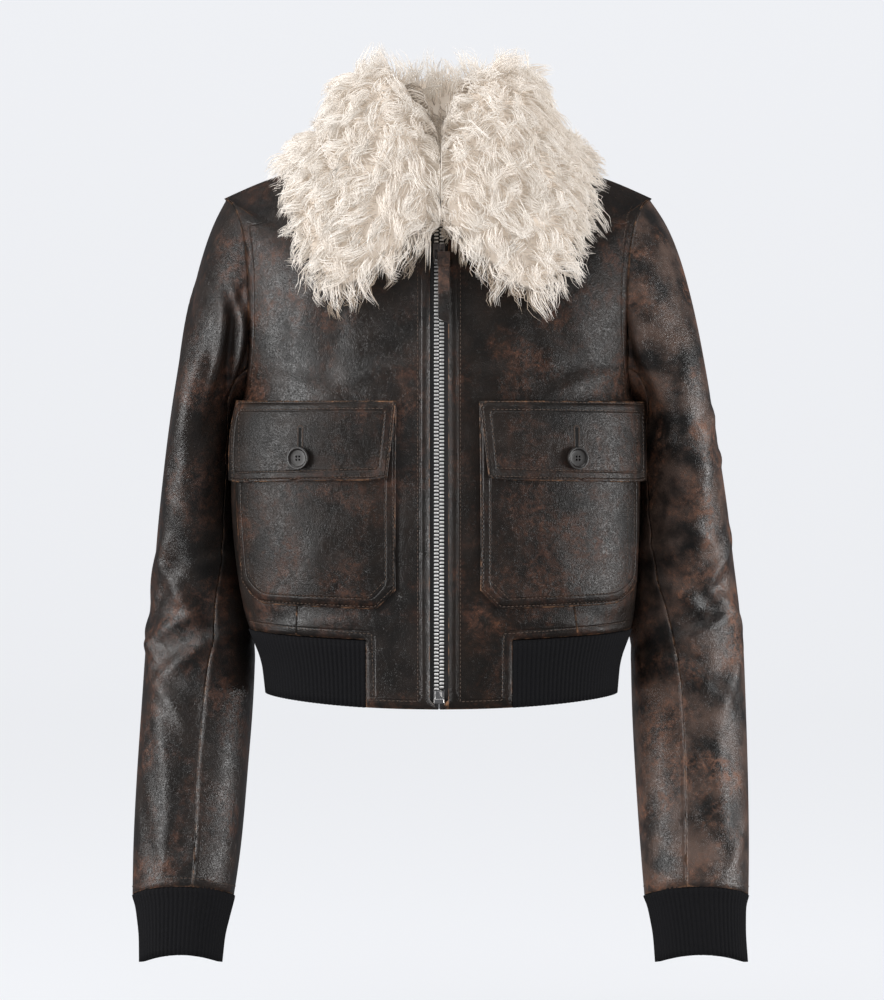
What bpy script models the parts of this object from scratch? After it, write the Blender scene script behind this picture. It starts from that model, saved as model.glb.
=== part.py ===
"""A cropped leather jacket with a fur collar, filled out and hanging from its shoulders.

Metres, +Z up. The origin is the base of the neck, between the shoulders. The front faces -Y, and
the wearer's left is +X. Every leather piece is a thin wall on one shared skin, so that pieces meet
at their seams with a hair's gap.
"""

import functools
import math

import bmesh
import bpy
import numpy as np

# --- Driving sizes -------------------------------------------------------------------------------
LEATHER = 0.0015            # thickness of the leather walls
RIB_WALL = 0.0022           # the knit under its ribs
RIB_RELIEF = 0.0011         # how far a rib stands proud
RIB_PITCH = 0.0041          # one rib and one groove
SEAM_GAP = 0.0003           # between pieces that are sewn edge to edge
ZIP_X = 0.0010              # the zip's line lies a little to the wearer's left
ZIP_SLOT = 0.0076           # from the zip's line to each leather edge
TONGUE = 0.0620             # from the zip's line to the leather tongue's outer edge, at the hem
ARM_TOP = -0.0300           # height of the shoulder tip
ARM_BOTTOM = -0.2130        # height of the underarm point

# Rows of the body, from the hem (level 0) to the neckline (level 8). Level 5 is the underarm and
# level 7 the shoulder tip. "mid" is the centre line, "square" the squareness of the section and
# "wide_y" the place where the section would run straight back, were it not cut off at the armhole.
FRONT_ROWS = (
    # level, mid_z, mid_y, square, wide_y
    (0.0, -0.4725, -0.1000, 2.7, 0.0020),    # hem
    (0.5, -0.4400, -0.1035, 2.7, 0.0020),
    (1.0, -0.4140, -0.1075, 2.7, 0.0030),    # rib seam
    (2.0, -0.3720, -0.1130, 2.8, 0.0040),    # blouse above the ribs
    (3.0, -0.3000, -0.1160, 2.8, 0.0050),    # pocket
    (4.0, -0.2450, -0.1160, 2.7, 0.0060),    # bust
    (5.0, -0.2120, -0.1150, 2.6, 0.0060),    # underarm
    (6.0, -0.1500, -0.1120, 2.4, 0.0060),    # chest
    (6.5, -0.1220, -0.1085, 2.3, 0.0400),
    (7.0, -0.0950, -0.1045, 2.1, 0.1200),    # shoulder tip
    (7.5, -0.0690, -0.0990, 2.0, 0.1200),
    (8.0, -0.0450, -0.0930, 2.0, 0.0130),    # neckline
)
BACK_ROWS = (
    # level, mid_z, mid_y, square, wide_y
    (0.0, -0.4680, 0.0980, 2.5, 0.0020),
    (0.5, -0.4360, 0.1010, 2.5, 0.0020),
    (1.0, -0.4100, 0.1050, 2.5, 0.0030),
    (2.0, -0.3700, 0.1110, 2.5, 0.0040),
    (3.0, -0.3000, 0.1130, 2.5, 0.0050),
    (4.0, -0.2420, 0.1155, 2.5, 0.0060),
    (5.0, -0.2060, 0.1170, 2.5, 0.0060),
    (6.0, -0.1250, 0.1150, 2.4, 0.0060),
    (6.5, -0.0830, 0.1080, 2.2, -0.0300),
    (7.0, -0.0450, 0.0970, 2.1, -0.0820),
    (7.5, -0.0140, 0.0820, 2.0, -0.0680),
    (8.0, 0.0120, 0.0620, 2.0, -0.0160),
)
# Where the rows end: the side seam up to the underarm, and the shoulder seam from the tip up.
SIDE_SEAM = (
    # level, side_x, side_y, side_z, lean_x
    (0.0, 0.1540, 0.0020, -0.4630, 0.0030),
    (0.3, 0.1555, 0.0020, -0.4430, 0.0027),
    (0.7, 0.1600, 0.0030, -0.4220, 0.0024),
    (1.0, 0.1680, 0.0030, -0.4070, 0.0020),
    (1.5, 0.1725, 0.0040, -0.3900, 0.0010),
    (2.0, 0.1750, 0.0040, -0.3700, 0.0000),
    (3.0, 0.1795, 0.0050, -0.3000, -0.0020),
    (4.0, 0.1800, 0.0060, -0.2450, -0.0025),
    (5.0, 0.1780, 0.0060, ARM_BOTTOM, 0.0000),
)
SHOULDER_SEAM = (
    # level, side_x, side_y, side_z
    (7.0, 0.1882, 0.0000, ARM_TOP),
    (7.2, 0.1640, -0.0010, -0.0185),
    (7.5, 0.1350, -0.0020, -0.0085),
    (8.0, 0.0800, -0.0050, 0.0100),
)
# The armhole, by the angle from the shoulder tip (0) to the underarm (180): how far the panel's
# edge stands from the middle of the body, in front and behind.
ARMHOLE = (
    # angle, front_x, back_x
    (0, 0.1882, 0.1882),
    (35, 0.1735, 0.1790),
    (65, 0.1650, 0.1745),
    (95, 0.1625, 0.1720),
    (130, 0.1645, 0.1720),
    (155, 0.1690, 0.1740),
    (180, 0.1780, 0.1780),
)
ARMHOLE_FRONT = 0.0640      # depth of the armhole in front of its middle
ARMHOLE_BACK = 0.0600       # and behind it
# Rows of the sleeve below its head. "in" and "out" are the edges seen from the front, and the
# leans move them towards the wearer's left on both arms. "depth" is half the front-to-back width
# and "pitch" how far the row's front is raised, in degrees. "fore" and "hind" are where the two
# long seams run round the arm, in degrees from the outer edge.
SLEEVE_ROWS = (
    # z, in_x, out_x, in_lean, out_lean, mid_y, depth, pitch, fore, hind
    (-0.2520, 0.1842, 0.2440, -0.0008, 0.0040, 0.0120, 0.0660, 0, 155, 228),
    (-0.3000, 0.1826, 0.2515, -0.0014, 0.0050, 0.0230, 0.0640, -2, 143, 232),
    (-0.3450, 0.1808, 0.2572, -0.0008, 0.0054, 0.0330, 0.0600, -2, 131, 238),
    (-0.3850, 0.1770, 0.2620, 0.0008, 0.0060, 0.0370, 0.0570, 1, 117, 243),
    (-0.4250, 0.1665, 0.2662, 0.0044, 0.0058, 0.0330, 0.0540, 5, 104, 247),
    (-0.4700, 0.1668, 0.2676, 0.0040, 0.0052, 0.0230, 0.0520, 8, 98, 250),
    (-0.5300, 0.1700, 0.2694, 0.0030, 0.0040, 0.0090, 0.0500, 9, 98, 250),
    (-0.5900, 0.1738, 0.2702, 0.0025, 0.0028, -0.0060, 0.0480, 9, 100, 250),
    (-0.6340, 0.1785, 0.2690, 0.0010, 0.0022, -0.0180, 0.0460, 9, 102, 250),
)
CUFF_ROWS = (
    # drop below the seam, in_x, out_x, in_lean, out_lean, mid_y, depth
    (0.0000, 0.1785, 0.2690, 0.0010, 0.0022, -0.0180, 0.0460),
    (0.0100, 0.1818, 0.2656, 0.0018, 0.0024, -0.0205, 0.0430),
    (0.0330, 0.1868, 0.2634, 0.0010, 0.0038, -0.0275, 0.0395),
    (0.0560, 0.1884, 0.2636, 0.0006, 0.0048, -0.0340, 0.0380),
)
CUFF_DROPS = (0.0007, 0.0100, 0.0330, 0.0560)  # the first clears the sleeve's edge
CUFF_PITCH = 9              # degrees
CUFF_SAG = 0.0060           # the sides of the cuff's rows hang lower than front and back
# The largest creases of a sleeve: where they cross it, how high they stand and how far they run.
SLEEVE_FOLDS = (
    # z at the front, angle, half height, half run, rise
    (-0.342, 120, 0.012, 46, 0.0030),
    (-0.372, 150, 0.013, 52, 0.0036),
    (-0.402, 128, 0.013, 44, 0.0032),
    (-0.436, 146, 0.014, 40, 0.0026),
)
# The collar, by plan angle from the centre front (0) to the centre back (180). "reach" is how far
# the fur lies down over the body from the neckline; "roll" is the top of the fold, and "out" the
# widest place below it, each by its distance from the neck's middle and its height.
COLLAR_ROWS = (
    # angle, reach, roll_r, roll_z, out_r, out_z, thick
    (1.6, 0.024, 0.0660, 0.0010, 0.1080, -0.0240, 0.0170),
    (10.0, 0.040, 0.0650, 0.0390, 0.1080, -0.0020, 0.0190),
    (22.0, 0.062, 0.0690, 0.0680, 0.1080, 0.0280, 0.0200),
    (34.0, 0.092, 0.0720, 0.0750, 0.1070, 0.0360, 0.0190),
    (44.0, 0.110, 0.0730, 0.0770, 0.1050, 0.0360, 0.0190),
    (53.0, 0.099, 0.0720, 0.0780, 0.1020, 0.0340, 0.0190),
    (68.0, 0.072, 0.0700, 0.0790, 0.0980, 0.0310, 0.0170),
    (88.0, 0.047, 0.0690, 0.0800, 0.0950, 0.0280, 0.0145),
    (120.0, 0.049, 0.0710, 0.0840, 0.0970, 0.0300, 0.0165),
    (150.0, 0.053, 0.0730, 0.0880, 0.0990, 0.0310, 0.0190),
    (180.0, 0.054, 0.0740, 0.0900, 0.1000, 0.0320, 0.0190),
)
COLLAR_CUTS = (1.6, 5, 10, 16, 22, 28, 34, 39, 44, 50, 58, 67, 77, 86, 94.4, 104, 114, 126, 138, 150, 165, 180)
COLLAR_LEAN = (0.045, 0.0040)  # the left half reaches further: a share of its reach, and its width
FRONT_SHARE = 94.0          # up to this angle the collar lies on the fronts, and past it on the back
COLLAR_CLEAR = (0.0006, 0.0022, 0.0030, 0.0030, 0.0030)  # under the fall, from the neckline out
NECK_Y = -0.0120            # the neck's middle
# Pockets and flaps, on the front panel: distances from the middle of the body.
POCKET_IN = 0.0355
POCKET_OUT = 0.1710
POCKET_TOP = -0.2135
POCKET_BOTTOM = -0.3870
POCKET_CUT = 0.0160         # the cut corner at the bottom
FLAP_TOP = -0.2120
FLAP_BOTTOM = -0.2800
FLAP_IN = 0.0350
FLAP_OUT = 0.1725
PATCH_LIFT = 0.0006         # what lies on a panel is clear of it by this much
PATCH_WALL = 0.0020
BUTTON_RADIUS = 0.0095
BUTTON_THICK = 0.0036
BUTTON_X = 0.1150
BUTTON_Z = -0.2600
# The zip.
TEETH_HALF = 0.0040         # half the width of the closed teeth
TAPE_HALF = 0.0150          # from the zip's line to each tape's outer edge
TAPE_WALL = 0.0009
TAPE_BEHIND = LEATHER + 0.0005
TAPE_FOOT = 0.0120          # how far the tapes run below the teeth
CHAIN_THICK = 0.0026
CHAIN_PROUD = 0.0010        # how far the teeth stand in front of the tapes
CHAIN_BOTTOM = -0.4560
CHAIN_TOP = -0.0560
ZIP_BOX_SIZE = (0.0076, 0.0034, 0.0110)
ZIP_BOX_DROP = 0.0062       # from the last teeth to the box's middle
SLIDER_Z = -0.0835
SLIDER_SIZE = (0.0100, 0.0030, 0.0110)
PIVOT_OUT = 0.0046          # the hinge stands this far in front of the leather's line
BRIDGE_REACH = 0.0050       # from the hinge back to the slider's rear face
BRIDGE_FRONT = 0.0029       # from the hinge to the front of the bridge
BRIDGE_ROOT = 0.0005        # how deep the bridge is set in the slider
BRIDGE_WIDE = 0.0024
BRIDGE_TALL = 0.0080
BRIDGE_HOLE = (0.0200, 0.0022, 0.0044)
LINK_HALF = 0.0046
LINK_ROD = 0.0014
LINK_DROP = 0.0110
STRAP_SIZE = (0.0096, 0.0020, 0.0500)
STRAP_SLANT = 0.5           # fall of the strap's foot, for each step across

BODY_COLUMNS = 10
ARM_STEPS = 11              # rows from the underarm to the shoulder tip
LOW_LEVELS = (0.0, 0.5, 1.0, 1.4, 1.8, 2.4, 3.0, 3.6, 4.3, 5.0)
SHOULDER_LEVELS = (7.25, 7.5, 7.75, 8.0)
HEAD_STEPS = 6              # rows of the sleeve's head
HEAD_LEAN = 0.0045          # both sleeve heads are blown a little towards the wearer's left
FORE_COLUMN = ARM_STEPS - 3
HIND_COLUMN = ARM_STEPS + 4

COLOURS = {
    "leather": ((0.030, 0.022, 0.018, 1), 0.45, 0.0),
    "rib": ((0.010, 0.010, 0.012, 1), 0.90, 0.0),
    "fur": ((0.760, 0.690, 0.580, 1), 0.95, 0.0),
    "horn": ((0.020, 0.014, 0.010, 1), 0.30, 0.0),
    "tape": ((0.020, 0.017, 0.015, 1), 0.85, 0.0),
    "metal": ((0.550, 0.540, 0.500, 1), 0.30, 1.0),
}


# --- Smooth tables -------------------------------------------------------------------------------
def smooth(table, column, at):
    """A column of a table, read between its rows on a curve that never overshoots them."""
    rows = np.array(table, float)
    place, value = rows[:, 0], rows[:, column]
    if place[0] > place[-1]:
        place, value = place[::-1], value[::-1]
    at = float(np.clip(at, place[0], place[-1]))
    step = np.diff(place)
    slope = np.diff(value) / step
    tangent = np.zeros(len(place))
    tangent[0], tangent[-1] = slope[0], slope[-1]
    for k in range(1, len(place) - 1):
        if slope[k - 1] * slope[k] > 0:
            tangent[k] = 2 * slope[k - 1] * slope[k] / (slope[k - 1] + slope[k])
    k = int(np.clip(np.searchsorted(place, at, side="right") - 1, 0, len(step) - 1))
    t = (at - place[k]) / step[k]
    return float(
        value[k] * (1 + 2 * t) * (1 - t) ** 2
        + tangent[k] * step[k] * t * (1 - t) ** 2
        + value[k + 1] * t * t * (3 - 2 * t)
        - tangent[k + 1] * step[k] * t * t * (1 - t)
    )


def unit(vector):
    return vector / max(np.linalg.norm(vector), 1e-12)


# --- The shared skin -----------------------------------------------------------------------------
def armhole_angle(level):
    return 180.0 * (7.0 - level) / 2.0


def side_point(level, front):
    """Where a row of the body ends, on the +X side: side seam, armhole edge or shoulder seam."""
    if level <= 5.0:
        return np.array([smooth(SIDE_SEAM, k, level) for k in (1, 2, 3)])
    if level >= 7.0:
        return np.array([smooth(SHOULDER_SEAM, k, level) for k in (1, 2, 3)])
    angle = armhole_angle(level)
    turn = math.radians(angle)
    middle = (ARM_TOP + ARM_BOTTOM) / 2
    half = (ARM_TOP - ARM_BOTTOM) / 2
    depth = -ARMHOLE_FRONT if front else ARMHOLE_BACK
    y = 0.006 * angle / 180 + depth * math.sin(turn) ** 0.9
    return np.array([smooth(ARMHOLE, 1 if front else 2, angle), y, middle + half * math.cos(turn)])


@functools.lru_cache(maxsize=None)
def row_values(front, level):
    """What a row of the body is drawn from: its middle, its end, its shape and its lean."""
    table = FRONT_ROWS if front else BACK_ROWS
    mid_z, mid_y, square, wide_y = (smooth(table, k, level) for k in (1, 2, 3, 4))
    lean = smooth(SIDE_SEAM, 4, level) if level < 5.0 else 0.0
    end = side_point(level, front)
    share = min((end[1] - mid_y) / (wide_y - mid_y), 1.0)
    turn = math.acos((1 - share) ** (square / 2))
    return mid_z, mid_y, square, turn, end, lean


def body_row(side, front, parts, level):
    """Points of a row of the body's skin. parts, one or many, run from the middle (0) to the side (1)."""
    mid_z, mid_y, square, turn, (end_x, end_y, end_z), lean = row_values(front, float(level))
    angles = turn * np.asarray(parts, float)
    power = 2 / square
    across = (np.sin(angles) / math.sin(turn)) ** power
    round_off = 1 - max(math.cos(turn), 0.0) ** power
    back = (1 - np.maximum(np.cos(angles), 0.0) ** power) / round_off
    start_x = ZIP_X if front else 0.0
    x = side * end_x * across + start_x * (1 - across) + lean * across
    return np.stack([x, mid_y + (end_y - mid_y) * back, mid_z + (end_z - mid_z) * across ** 2], axis=-1)


def body_normal(side, front, part, level):
    """The outward normal of the body's skin."""
    low, high = max(part - 0.02, 0.004), min(part + 0.02, 1.0)
    under, over = max(level - 0.05, 0.0), min(level + 0.05, 8.0)
    along = body_row(side, front, high, level) - body_row(side, front, low, level)
    up = body_row(side, front, part, over) - body_row(side, front, part, under)
    normal = unit(np.cross(along, up))
    return normal if (side > 0) == front else -normal


def part_at(side, front, level, x):
    """The part of a row that lies at this x."""
    parts = np.linspace(0, 1, 161)
    return float(np.interp(side * x, side * body_row(side, front, parts, level)[:, 0], parts))


def ring_point(centre_x, half_x, centre, depth, pitch, angle, sag=0.0):
    """A point of a tube's row, with its front raised by the pitch. angle runs outer, front, inner."""
    turn = math.radians(angle)
    across, fore = math.cos(turn), math.sin(turn)
    square = 2.0 / 2.3
    across_s = math.copysign(abs(across) ** square, across)
    fore_s = math.copysign(abs(fore) ** square, fore)
    y, z = centre
    tilt = math.radians(pitch)
    return np.array([
        centre_x + half_x * across_s,
        y - depth * fore_s * math.cos(tilt),
        z + depth * fore_s * math.sin(tilt) - sag * across * across,
    ])


def seam_angles(z):
    """Angles of the sleeve's columns in this row: even from the outer edge to each long seam."""
    fore, hind = smooth(SLEEVE_ROWS, 8, z), smooth(SLEEVE_ROWS, 9, z)
    places = [0, FORE_COLUMN, HIND_COLUMN, 2 * ARM_STEPS]
    return np.interp(np.arange(2 * ARM_STEPS), places, [0, fore, hind, 360])


def sleeve_row(side, z, sag=0.0):
    """One row of the sleeve below its head."""
    in_x, out_x, in_lean, out_lean, mid_y, depth, pitch = (smooth(SLEEVE_ROWS, k, z) for k in range(1, 8))
    in_x += side * in_lean
    out_x += side * out_lean
    row = []
    for angle in seam_angles(z):
        point = ring_point((in_x + out_x) / 2, (out_x - in_x) / 2, (mid_y, z), depth, pitch, angle, sag)
        outward = unit(point - np.array([(in_x + out_x) / 2, mid_y, z]))
        point = point + outward * fold_rise(point, angle, mid_y)
        point[0] = side * point[0]
        row.append(point)
    return np.array(row)


def fold_rise(point, angle, mid_y):
    """How far the creases of the elbow lift the leather at this place."""
    rise = 0.0
    for z, middle, half, run, height in SLEEVE_FOLDS:
        off = abs((angle - middle + 180) % 360 - 180) / run
        up = (point[2] - z - 0.25 * (point[1] - mid_y)) / half
        if off < 1 and abs(up) < 1:
            rise += height * math.cos(off * math.pi / 2) ** 2 * math.cos(up * math.pi / 2) ** 2
    return rise


def armhole_ring(side):
    """The armhole's points: from the shoulder tip down its front to the underarm, and up behind."""
    levels = [7 - 2 * k / ARM_STEPS for k in range(ARM_STEPS + 1)]
    fore = [body_row(side, True, 1.0, level) for level in levels]
    hind = [body_row(side, False, 1.0, level) for level in levels[-2:0:-1]]
    return np.array(fore + hind)


def sleeve_grid(side):
    """Rows of points from the armhole, over the sleeve's head, down to the cuff's seam."""
    start = armhole_ring(side)
    end = sleeve_row(side, SLEEVE_ROWS[0][0])
    below = sleeve_row(side, SLEEVE_ROWS[0][0] - 0.01)
    rows = [start]
    for k in range(1, HEAD_STEPS):
        t = k / HEAD_STEPS
        row = []
        for i, (a, b) in enumerate(zip(start, end)):
            high = 0.5 + 0.5 * math.cos(2 * math.pi * i / len(start))
            leave = unit(np.array([side * 1.0, 0.0, -0.25 - 0.75 * high]))
            arrive = unit(below[i] - b)
            reach = np.linalg.norm(b - a)
            p = a + leave * reach * (0.30 - 0.12 * high) + np.array([HEAD_LEAN * high, 0.0, 0.0])
            q = b - arrive * reach * (0.30 + 0.05 * high)
            row.append((1 - t) ** 3 * a + 3 * t * (1 - t) ** 2 * p + 3 * t * t * (1 - t) * q + t ** 3 * b)
        rows.append(np.array(row))
    heights = np.concatenate([
        np.linspace(-0.2520, -0.3300, 4)[:-1],
        np.linspace(-0.3300, -0.4500, 8)[:-1],
        np.linspace(-0.4500, -0.6340, 6),
    ])
    for z in heights:
        sag = CUFF_SAG * float(np.clip((-0.50 - z) / 0.12, 0, 1))
        rows.append(sleeve_row(side, z, sag))
    return np.array(rows)


# --- Thin walls ----------------------------------------------------------------------------------
def grid_faces(rows, columns, keep=None, flip=False):
    """Quads of a grid of points, by index."""
    faces = []
    for r in range(rows - 1):
        for c in range(columns - 1):
            if keep and not keep(r, c):
                continue
            quad = [r * columns + c, r * columns + c + 1, (r + 1) * columns + c + 1, (r + 1) * columns + c]
            faces.append(quad[::-1] if flip else quad)
    return faces


class Skin:
    """Pieces that share their seam points. It gives each piece the normals of the whole."""

    def __init__(self):
        self.sums = {}

    @staticmethod
    def key(point):
        return tuple(int(round(v * 2e5)) for v in point)

    def add(self, points, faces):
        for face in faces:
            a, b, c, d = (points[i] for i in face)
            area = np.cross(c - a, d - b)
            for i in face:
                self.sums[self.key(points[i])] = self.sums.get(self.key(points[i]), 0) + area

    def normals(self, points):
        return np.array([unit(self.sums.get(self.key(p), np.zeros(3))) for p in points])


def edge_pairs(faces):
    """The directed edges that only one face has."""
    seen = {}
    for face in faces:
        for a, b in zip(face, face[1:] + face[:1]):
            seen[(a, b)] = face
    return [edge for edge in seen if (edge[1], edge[0]) not in seen]


def drawn_in(points, normals, faces, gap):
    """The points with the piece's rim drawn back by gap, so that it clears its neighbours."""
    pull = {}
    for a, b in edge_pairs(faces):
        along = unit(points[b] - points[a])
        for i in (a, b):
            pull.setdefault(i, []).append(unit(np.cross(normals[i], along)))
    moved = points.copy()
    for i, inward in pull.items():
        total = unit(sum(inward))
        moved[i] = points[i] + total * gap / max(float(np.dot(total, inward[0])), 0.4)
    return moved


def wall(name, points, normals, faces, thickness, kind, gap=SEAM_GAP / 2, relief=None):
    """A closed wall: the given face outside, its copy inside, and a rim round each free edge."""
    used = sorted({i for face in faces for i in face})
    place = {old: new for new, old in enumerate(used)}
    faces = [[place[i] for i in face] for face in faces]
    points, normals = points[used], normals[used]
    outer = drawn_in(points, normals, faces, gap)
    inner = outer - normals * thickness
    if relief is not None:
        outer = outer + normals * relief[used][:, None]
    count = len(used)
    quads = list(faces)
    quads += [[i + count for i in face[::-1]] for face in faces]
    quads += [[b, a, a + count, b + count] for a, b in edge_pairs(faces)]
    return add_object(name, np.concatenate([outer, inner]), quads, kind)


def add_object(name, points, faces, kind):
    mesh = bpy.data.meshes.new(name)
    mesh.from_pydata([tuple(p) for p in points], [], [tuple(face) for face in faces])
    mesh.validate()
    body = bmesh.new()
    body.from_mesh(mesh)
    bmesh.ops.triangulate(body, faces=[f for f in body.faces if len(f.verts) > 3])
    bmesh.ops.recalc_face_normals(body, faces=body.faces)
    body.to_mesh(mesh)
    body.free()
    mesh.shade_smooth()
    mesh.set_sharp_from_angle(angle=math.radians(40))
    mesh.materials.append(finish(name, kind))
    obj = bpy.data.objects.new(name, mesh)
    bpy.context.scene.collection.objects.link(obj)
    return obj


def finish(name, kind):
    colour, roughness, metallic = COLOURS[kind]
    material = bpy.data.materials.new(name + "_" + kind)
    material.use_nodes = True
    shader = material.node_tree.nodes["Principled BSDF"]
    shader.inputs["Base Color"].default_value = colour
    shader.inputs["Roughness"].default_value = roughness
    shader.inputs["Metallic"].default_value = metallic
    return material


# --- Body ----------------------------------------------------------------------------------------
def body_levels():
    arm = [5 + 2 * k / ARM_STEPS for k in range(1, ARM_STEPS + 1)]
    return list(LOW_LEVELS) + arm + list(SHOULDER_LEVELS)


def front_parts(side, level):
    """Columns of a front panel: its edge at the zip, the tongue's edge and on to the side."""
    edge = part_at(side, True, level, ZIP_X + side * ZIP_SLOT)
    tongue = part_at(side, True, level, ZIP_X + side * TONGUE)
    inner = np.linspace(edge, tongue, 4)
    outer = np.linspace(tongue, 1, BODY_COLUMNS - 2)
    return np.concatenate([inner[:-1], outer])


def front_grid(side, levels):
    return np.array([
        [body_row(side, True, p, level) for p in front_parts(side, level)] for level in levels
    ])


def back_grid(levels):
    parts = np.linspace(1, 0, BODY_COLUMNS)
    left = [[body_row(1, False, p, level) for p in parts] for level in levels]
    right = [[body_row(-1, False, p, level) for p in parts[::-1]] for level in levels]
    return np.array([a + b[1:] for a, b in zip(left, right)])


def under_seam(levels):
    return levels.index(1.0)


def build_body_and_sleeves():
    levels = body_levels()
    seam_row = under_seam(levels)
    tongue_column = 3
    pieces = []
    for side, hand in ((1, "left"), (-1, "right")):
        grid = front_grid(side, levels)
        rows, columns = grid.shape[:2]
        keep = lambda r, c: r >= seam_row or c < tongue_column
        pieces.append(("front_" + hand, grid.reshape(-1, 3), grid_faces(rows, columns, keep, side < 0)))
    grid = back_grid(levels)
    rows, columns = grid.shape[:2]
    keep = lambda r, c: r >= seam_row
    pieces.append(("back", grid.reshape(-1, 3), grid_faces(rows, columns, keep)))
    for side, hand in ((1, "left"), (-1, "right")):
        grid = sleeve_grid(side)
        around = grid.shape[1]
        closed = np.concatenate([grid, grid[:, :1]], axis=1)
        top = lambda r, c: c < FORE_COLUMN or c >= HIND_COLUMN
        under = lambda r, c: FORE_COLUMN <= c < HIND_COLUMN
        for label, chosen in (("top", top), ("under", under)):
            faces = grid_faces(len(grid), around + 1, chosen, side < 0)
            faces = [[i - around if i % (around + 1) == around else i for i in f] for f in faces]
            pieces.append(("sleeve_" + label + "_" + hand, closed.reshape(-1, 3), faces))
    skin = Skin()
    for _, points, faces in pieces:
        skin.add(points, faces)
    for name, points, faces in pieces:
        wall(name, points, skin.normals(points), faces, LEATHER, "leather")
    return skin


class Panel:
    """A front panel's own facets, for the pieces that lie on it or behind it."""

    def __init__(self, side, skin):
        self.side = side
        self.grid = front_grid(side, body_levels())
        shape = self.grid.shape
        self.normals = skin.normals(self.grid.reshape(-1, 3)).reshape(shape)

    def read(self, field, column, row):
        """A field of the grid, read between its points."""
        rows, columns = field.shape[:2]
        r = int(np.clip(math.floor(row), 0, rows - 2))
        c = int(np.clip(math.floor(column), 0, columns - 2))
        v, u = row - r, column - c
        low = field[r, c] * (1 - u) + field[r, c + 1] * u
        high = field[r + 1, c] * (1 - u) + field[r + 1, c + 1] * u
        return low * (1 - v) + high * v

    def row_at(self, column, z):
        rows = len(self.grid)
        return float(np.interp(z, [self.read(self.grid, column, r)[2] for r in range(rows)], range(rows)))

    def place(self, x, z):
        """(column, row) of the facet point at this distance from the middle and this height."""
        columns = self.grid.shape[1]
        column = 2.0
        for _ in range(8):
            row = self.row_at(column, z)
            across = [self.side * self.read(self.grid, c, row)[0] for c in range(columns)]
            column = float(np.interp(x, across, range(columns)))
        return column, row

    def lifted(self, column, row, rise):
        normal = unit(self.read(self.normals, column, row))
        return self.read(self.grid, column, row) + normal * rise, normal


# --- Ribs ----------------------------------------------------------------------------------------
def ribbed(name, outer_rows, normals_rows, closed, coarse):
    """A ribbed wall: two outer columns for each rib, and a plain, sparser inner face."""
    count = outer_rows.shape[1]
    relief = np.where(np.arange(count) % 2 == 0, 0.0, RIB_RELIEF)
    outer = outer_rows + normals_rows * relief[None, :, None]
    picks = list(range(0, count, coarse))
    if not closed and picks[-1] != count - 1:
        picks.append(count - 1)
    inner = outer_rows[[0, -1]][:, picks] - normals_rows[[0, -1]][:, picks] * RIB_WALL
    rows = len(outer)
    faces = []
    wrap = count if closed else count - 1
    for r in range(rows - 1):
        for c in range(wrap):
            d = (c + 1) % count
            faces.append([r * count + c, r * count + d, (r + 1) * count + d, (r + 1) * count + c])
    base, many = rows * count, len(picks)
    spans = many if closed else many - 1
    for k in range(spans):
        n = (k + 1) % many
        faces.append([base + n, base + k, base + many + k, base + many + n])
        start, stop = picks[k], picks[n] if n else count
        for edge_row, shift, turned in ((0, 0, False), (rows - 1, many, True)):
            for c in range(start, stop):
                a = edge_row * count + c
                b = edge_row * count + (c + 1) % count
                half = base + shift + (k if c < (start + stop) // 2 else n)
                faces.append([a, b, half] if turned else [b, a, half])
            middle = edge_row * count + ((start + stop) // 2) % count
            pair = [middle, base + shift + n, base + shift + k]
            faces.append(pair if turned else pair[::-1])
    if not closed:
        for c, k, turned in ((0, 0, False), (count - 1, many - 1, True)):
            rim = [r * count + c for r in range(rows)] + [base + many + k, base + k]
            faces.append(rim[::-1] if turned else rim)
    return add_object(name, np.concatenate([outer.reshape(-1, 3), inner.reshape(-1, 3)]), faces, "rib")


def evened(line, count):
    """Points at even distances along a line of points."""
    gone = np.concatenate([[0], np.cumsum(np.linalg.norm(np.diff(line, axis=0), axis=1))])
    at = np.linspace(0, gone[-1], count)
    return np.stack([np.interp(at, gone, line[:, k]) for k in range(3)], axis=1)


def row_normals(rows, outward):
    """Normals of rows of points, turned to the outward side."""
    along = np.gradient(rows, axis=1)
    up = np.gradient(rows, axis=0)
    normals = np.cross(along, up)
    normals /= np.linalg.norm(normals, axis=2, keepdims=True)
    return normals * outward


def build_waistband():
    lines = []
    for level in (0.0, 0.45, 0.98):
        line = []
        for side, order in ((1, 1), (-1, -1)):
            start = part_at(side, True, level, ZIP_X + side * (TONGUE + SEAM_GAP))
            fore = list(body_row(side, True, np.linspace(start, 1, 60), level))
            hind = list(body_row(side, False, np.linspace(1, 0, 60), level))[1:]
            half = fore + hind
            line += half if order > 0 else half[::-1][1:]
        lines.append(np.array(line))
    length = float(np.linalg.norm(np.diff(lines[-1], axis=0), axis=1).sum())
    count = 2 * int(length / RIB_PITCH / 2) * 2 + 1
    rows = np.array([evened(line, count) for line in lines])
    normals = row_normals(rows, 1)
    ribbed("waistband", rows - normals * RIB_RELIEF * 0.3, normals, False, 8)


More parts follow.
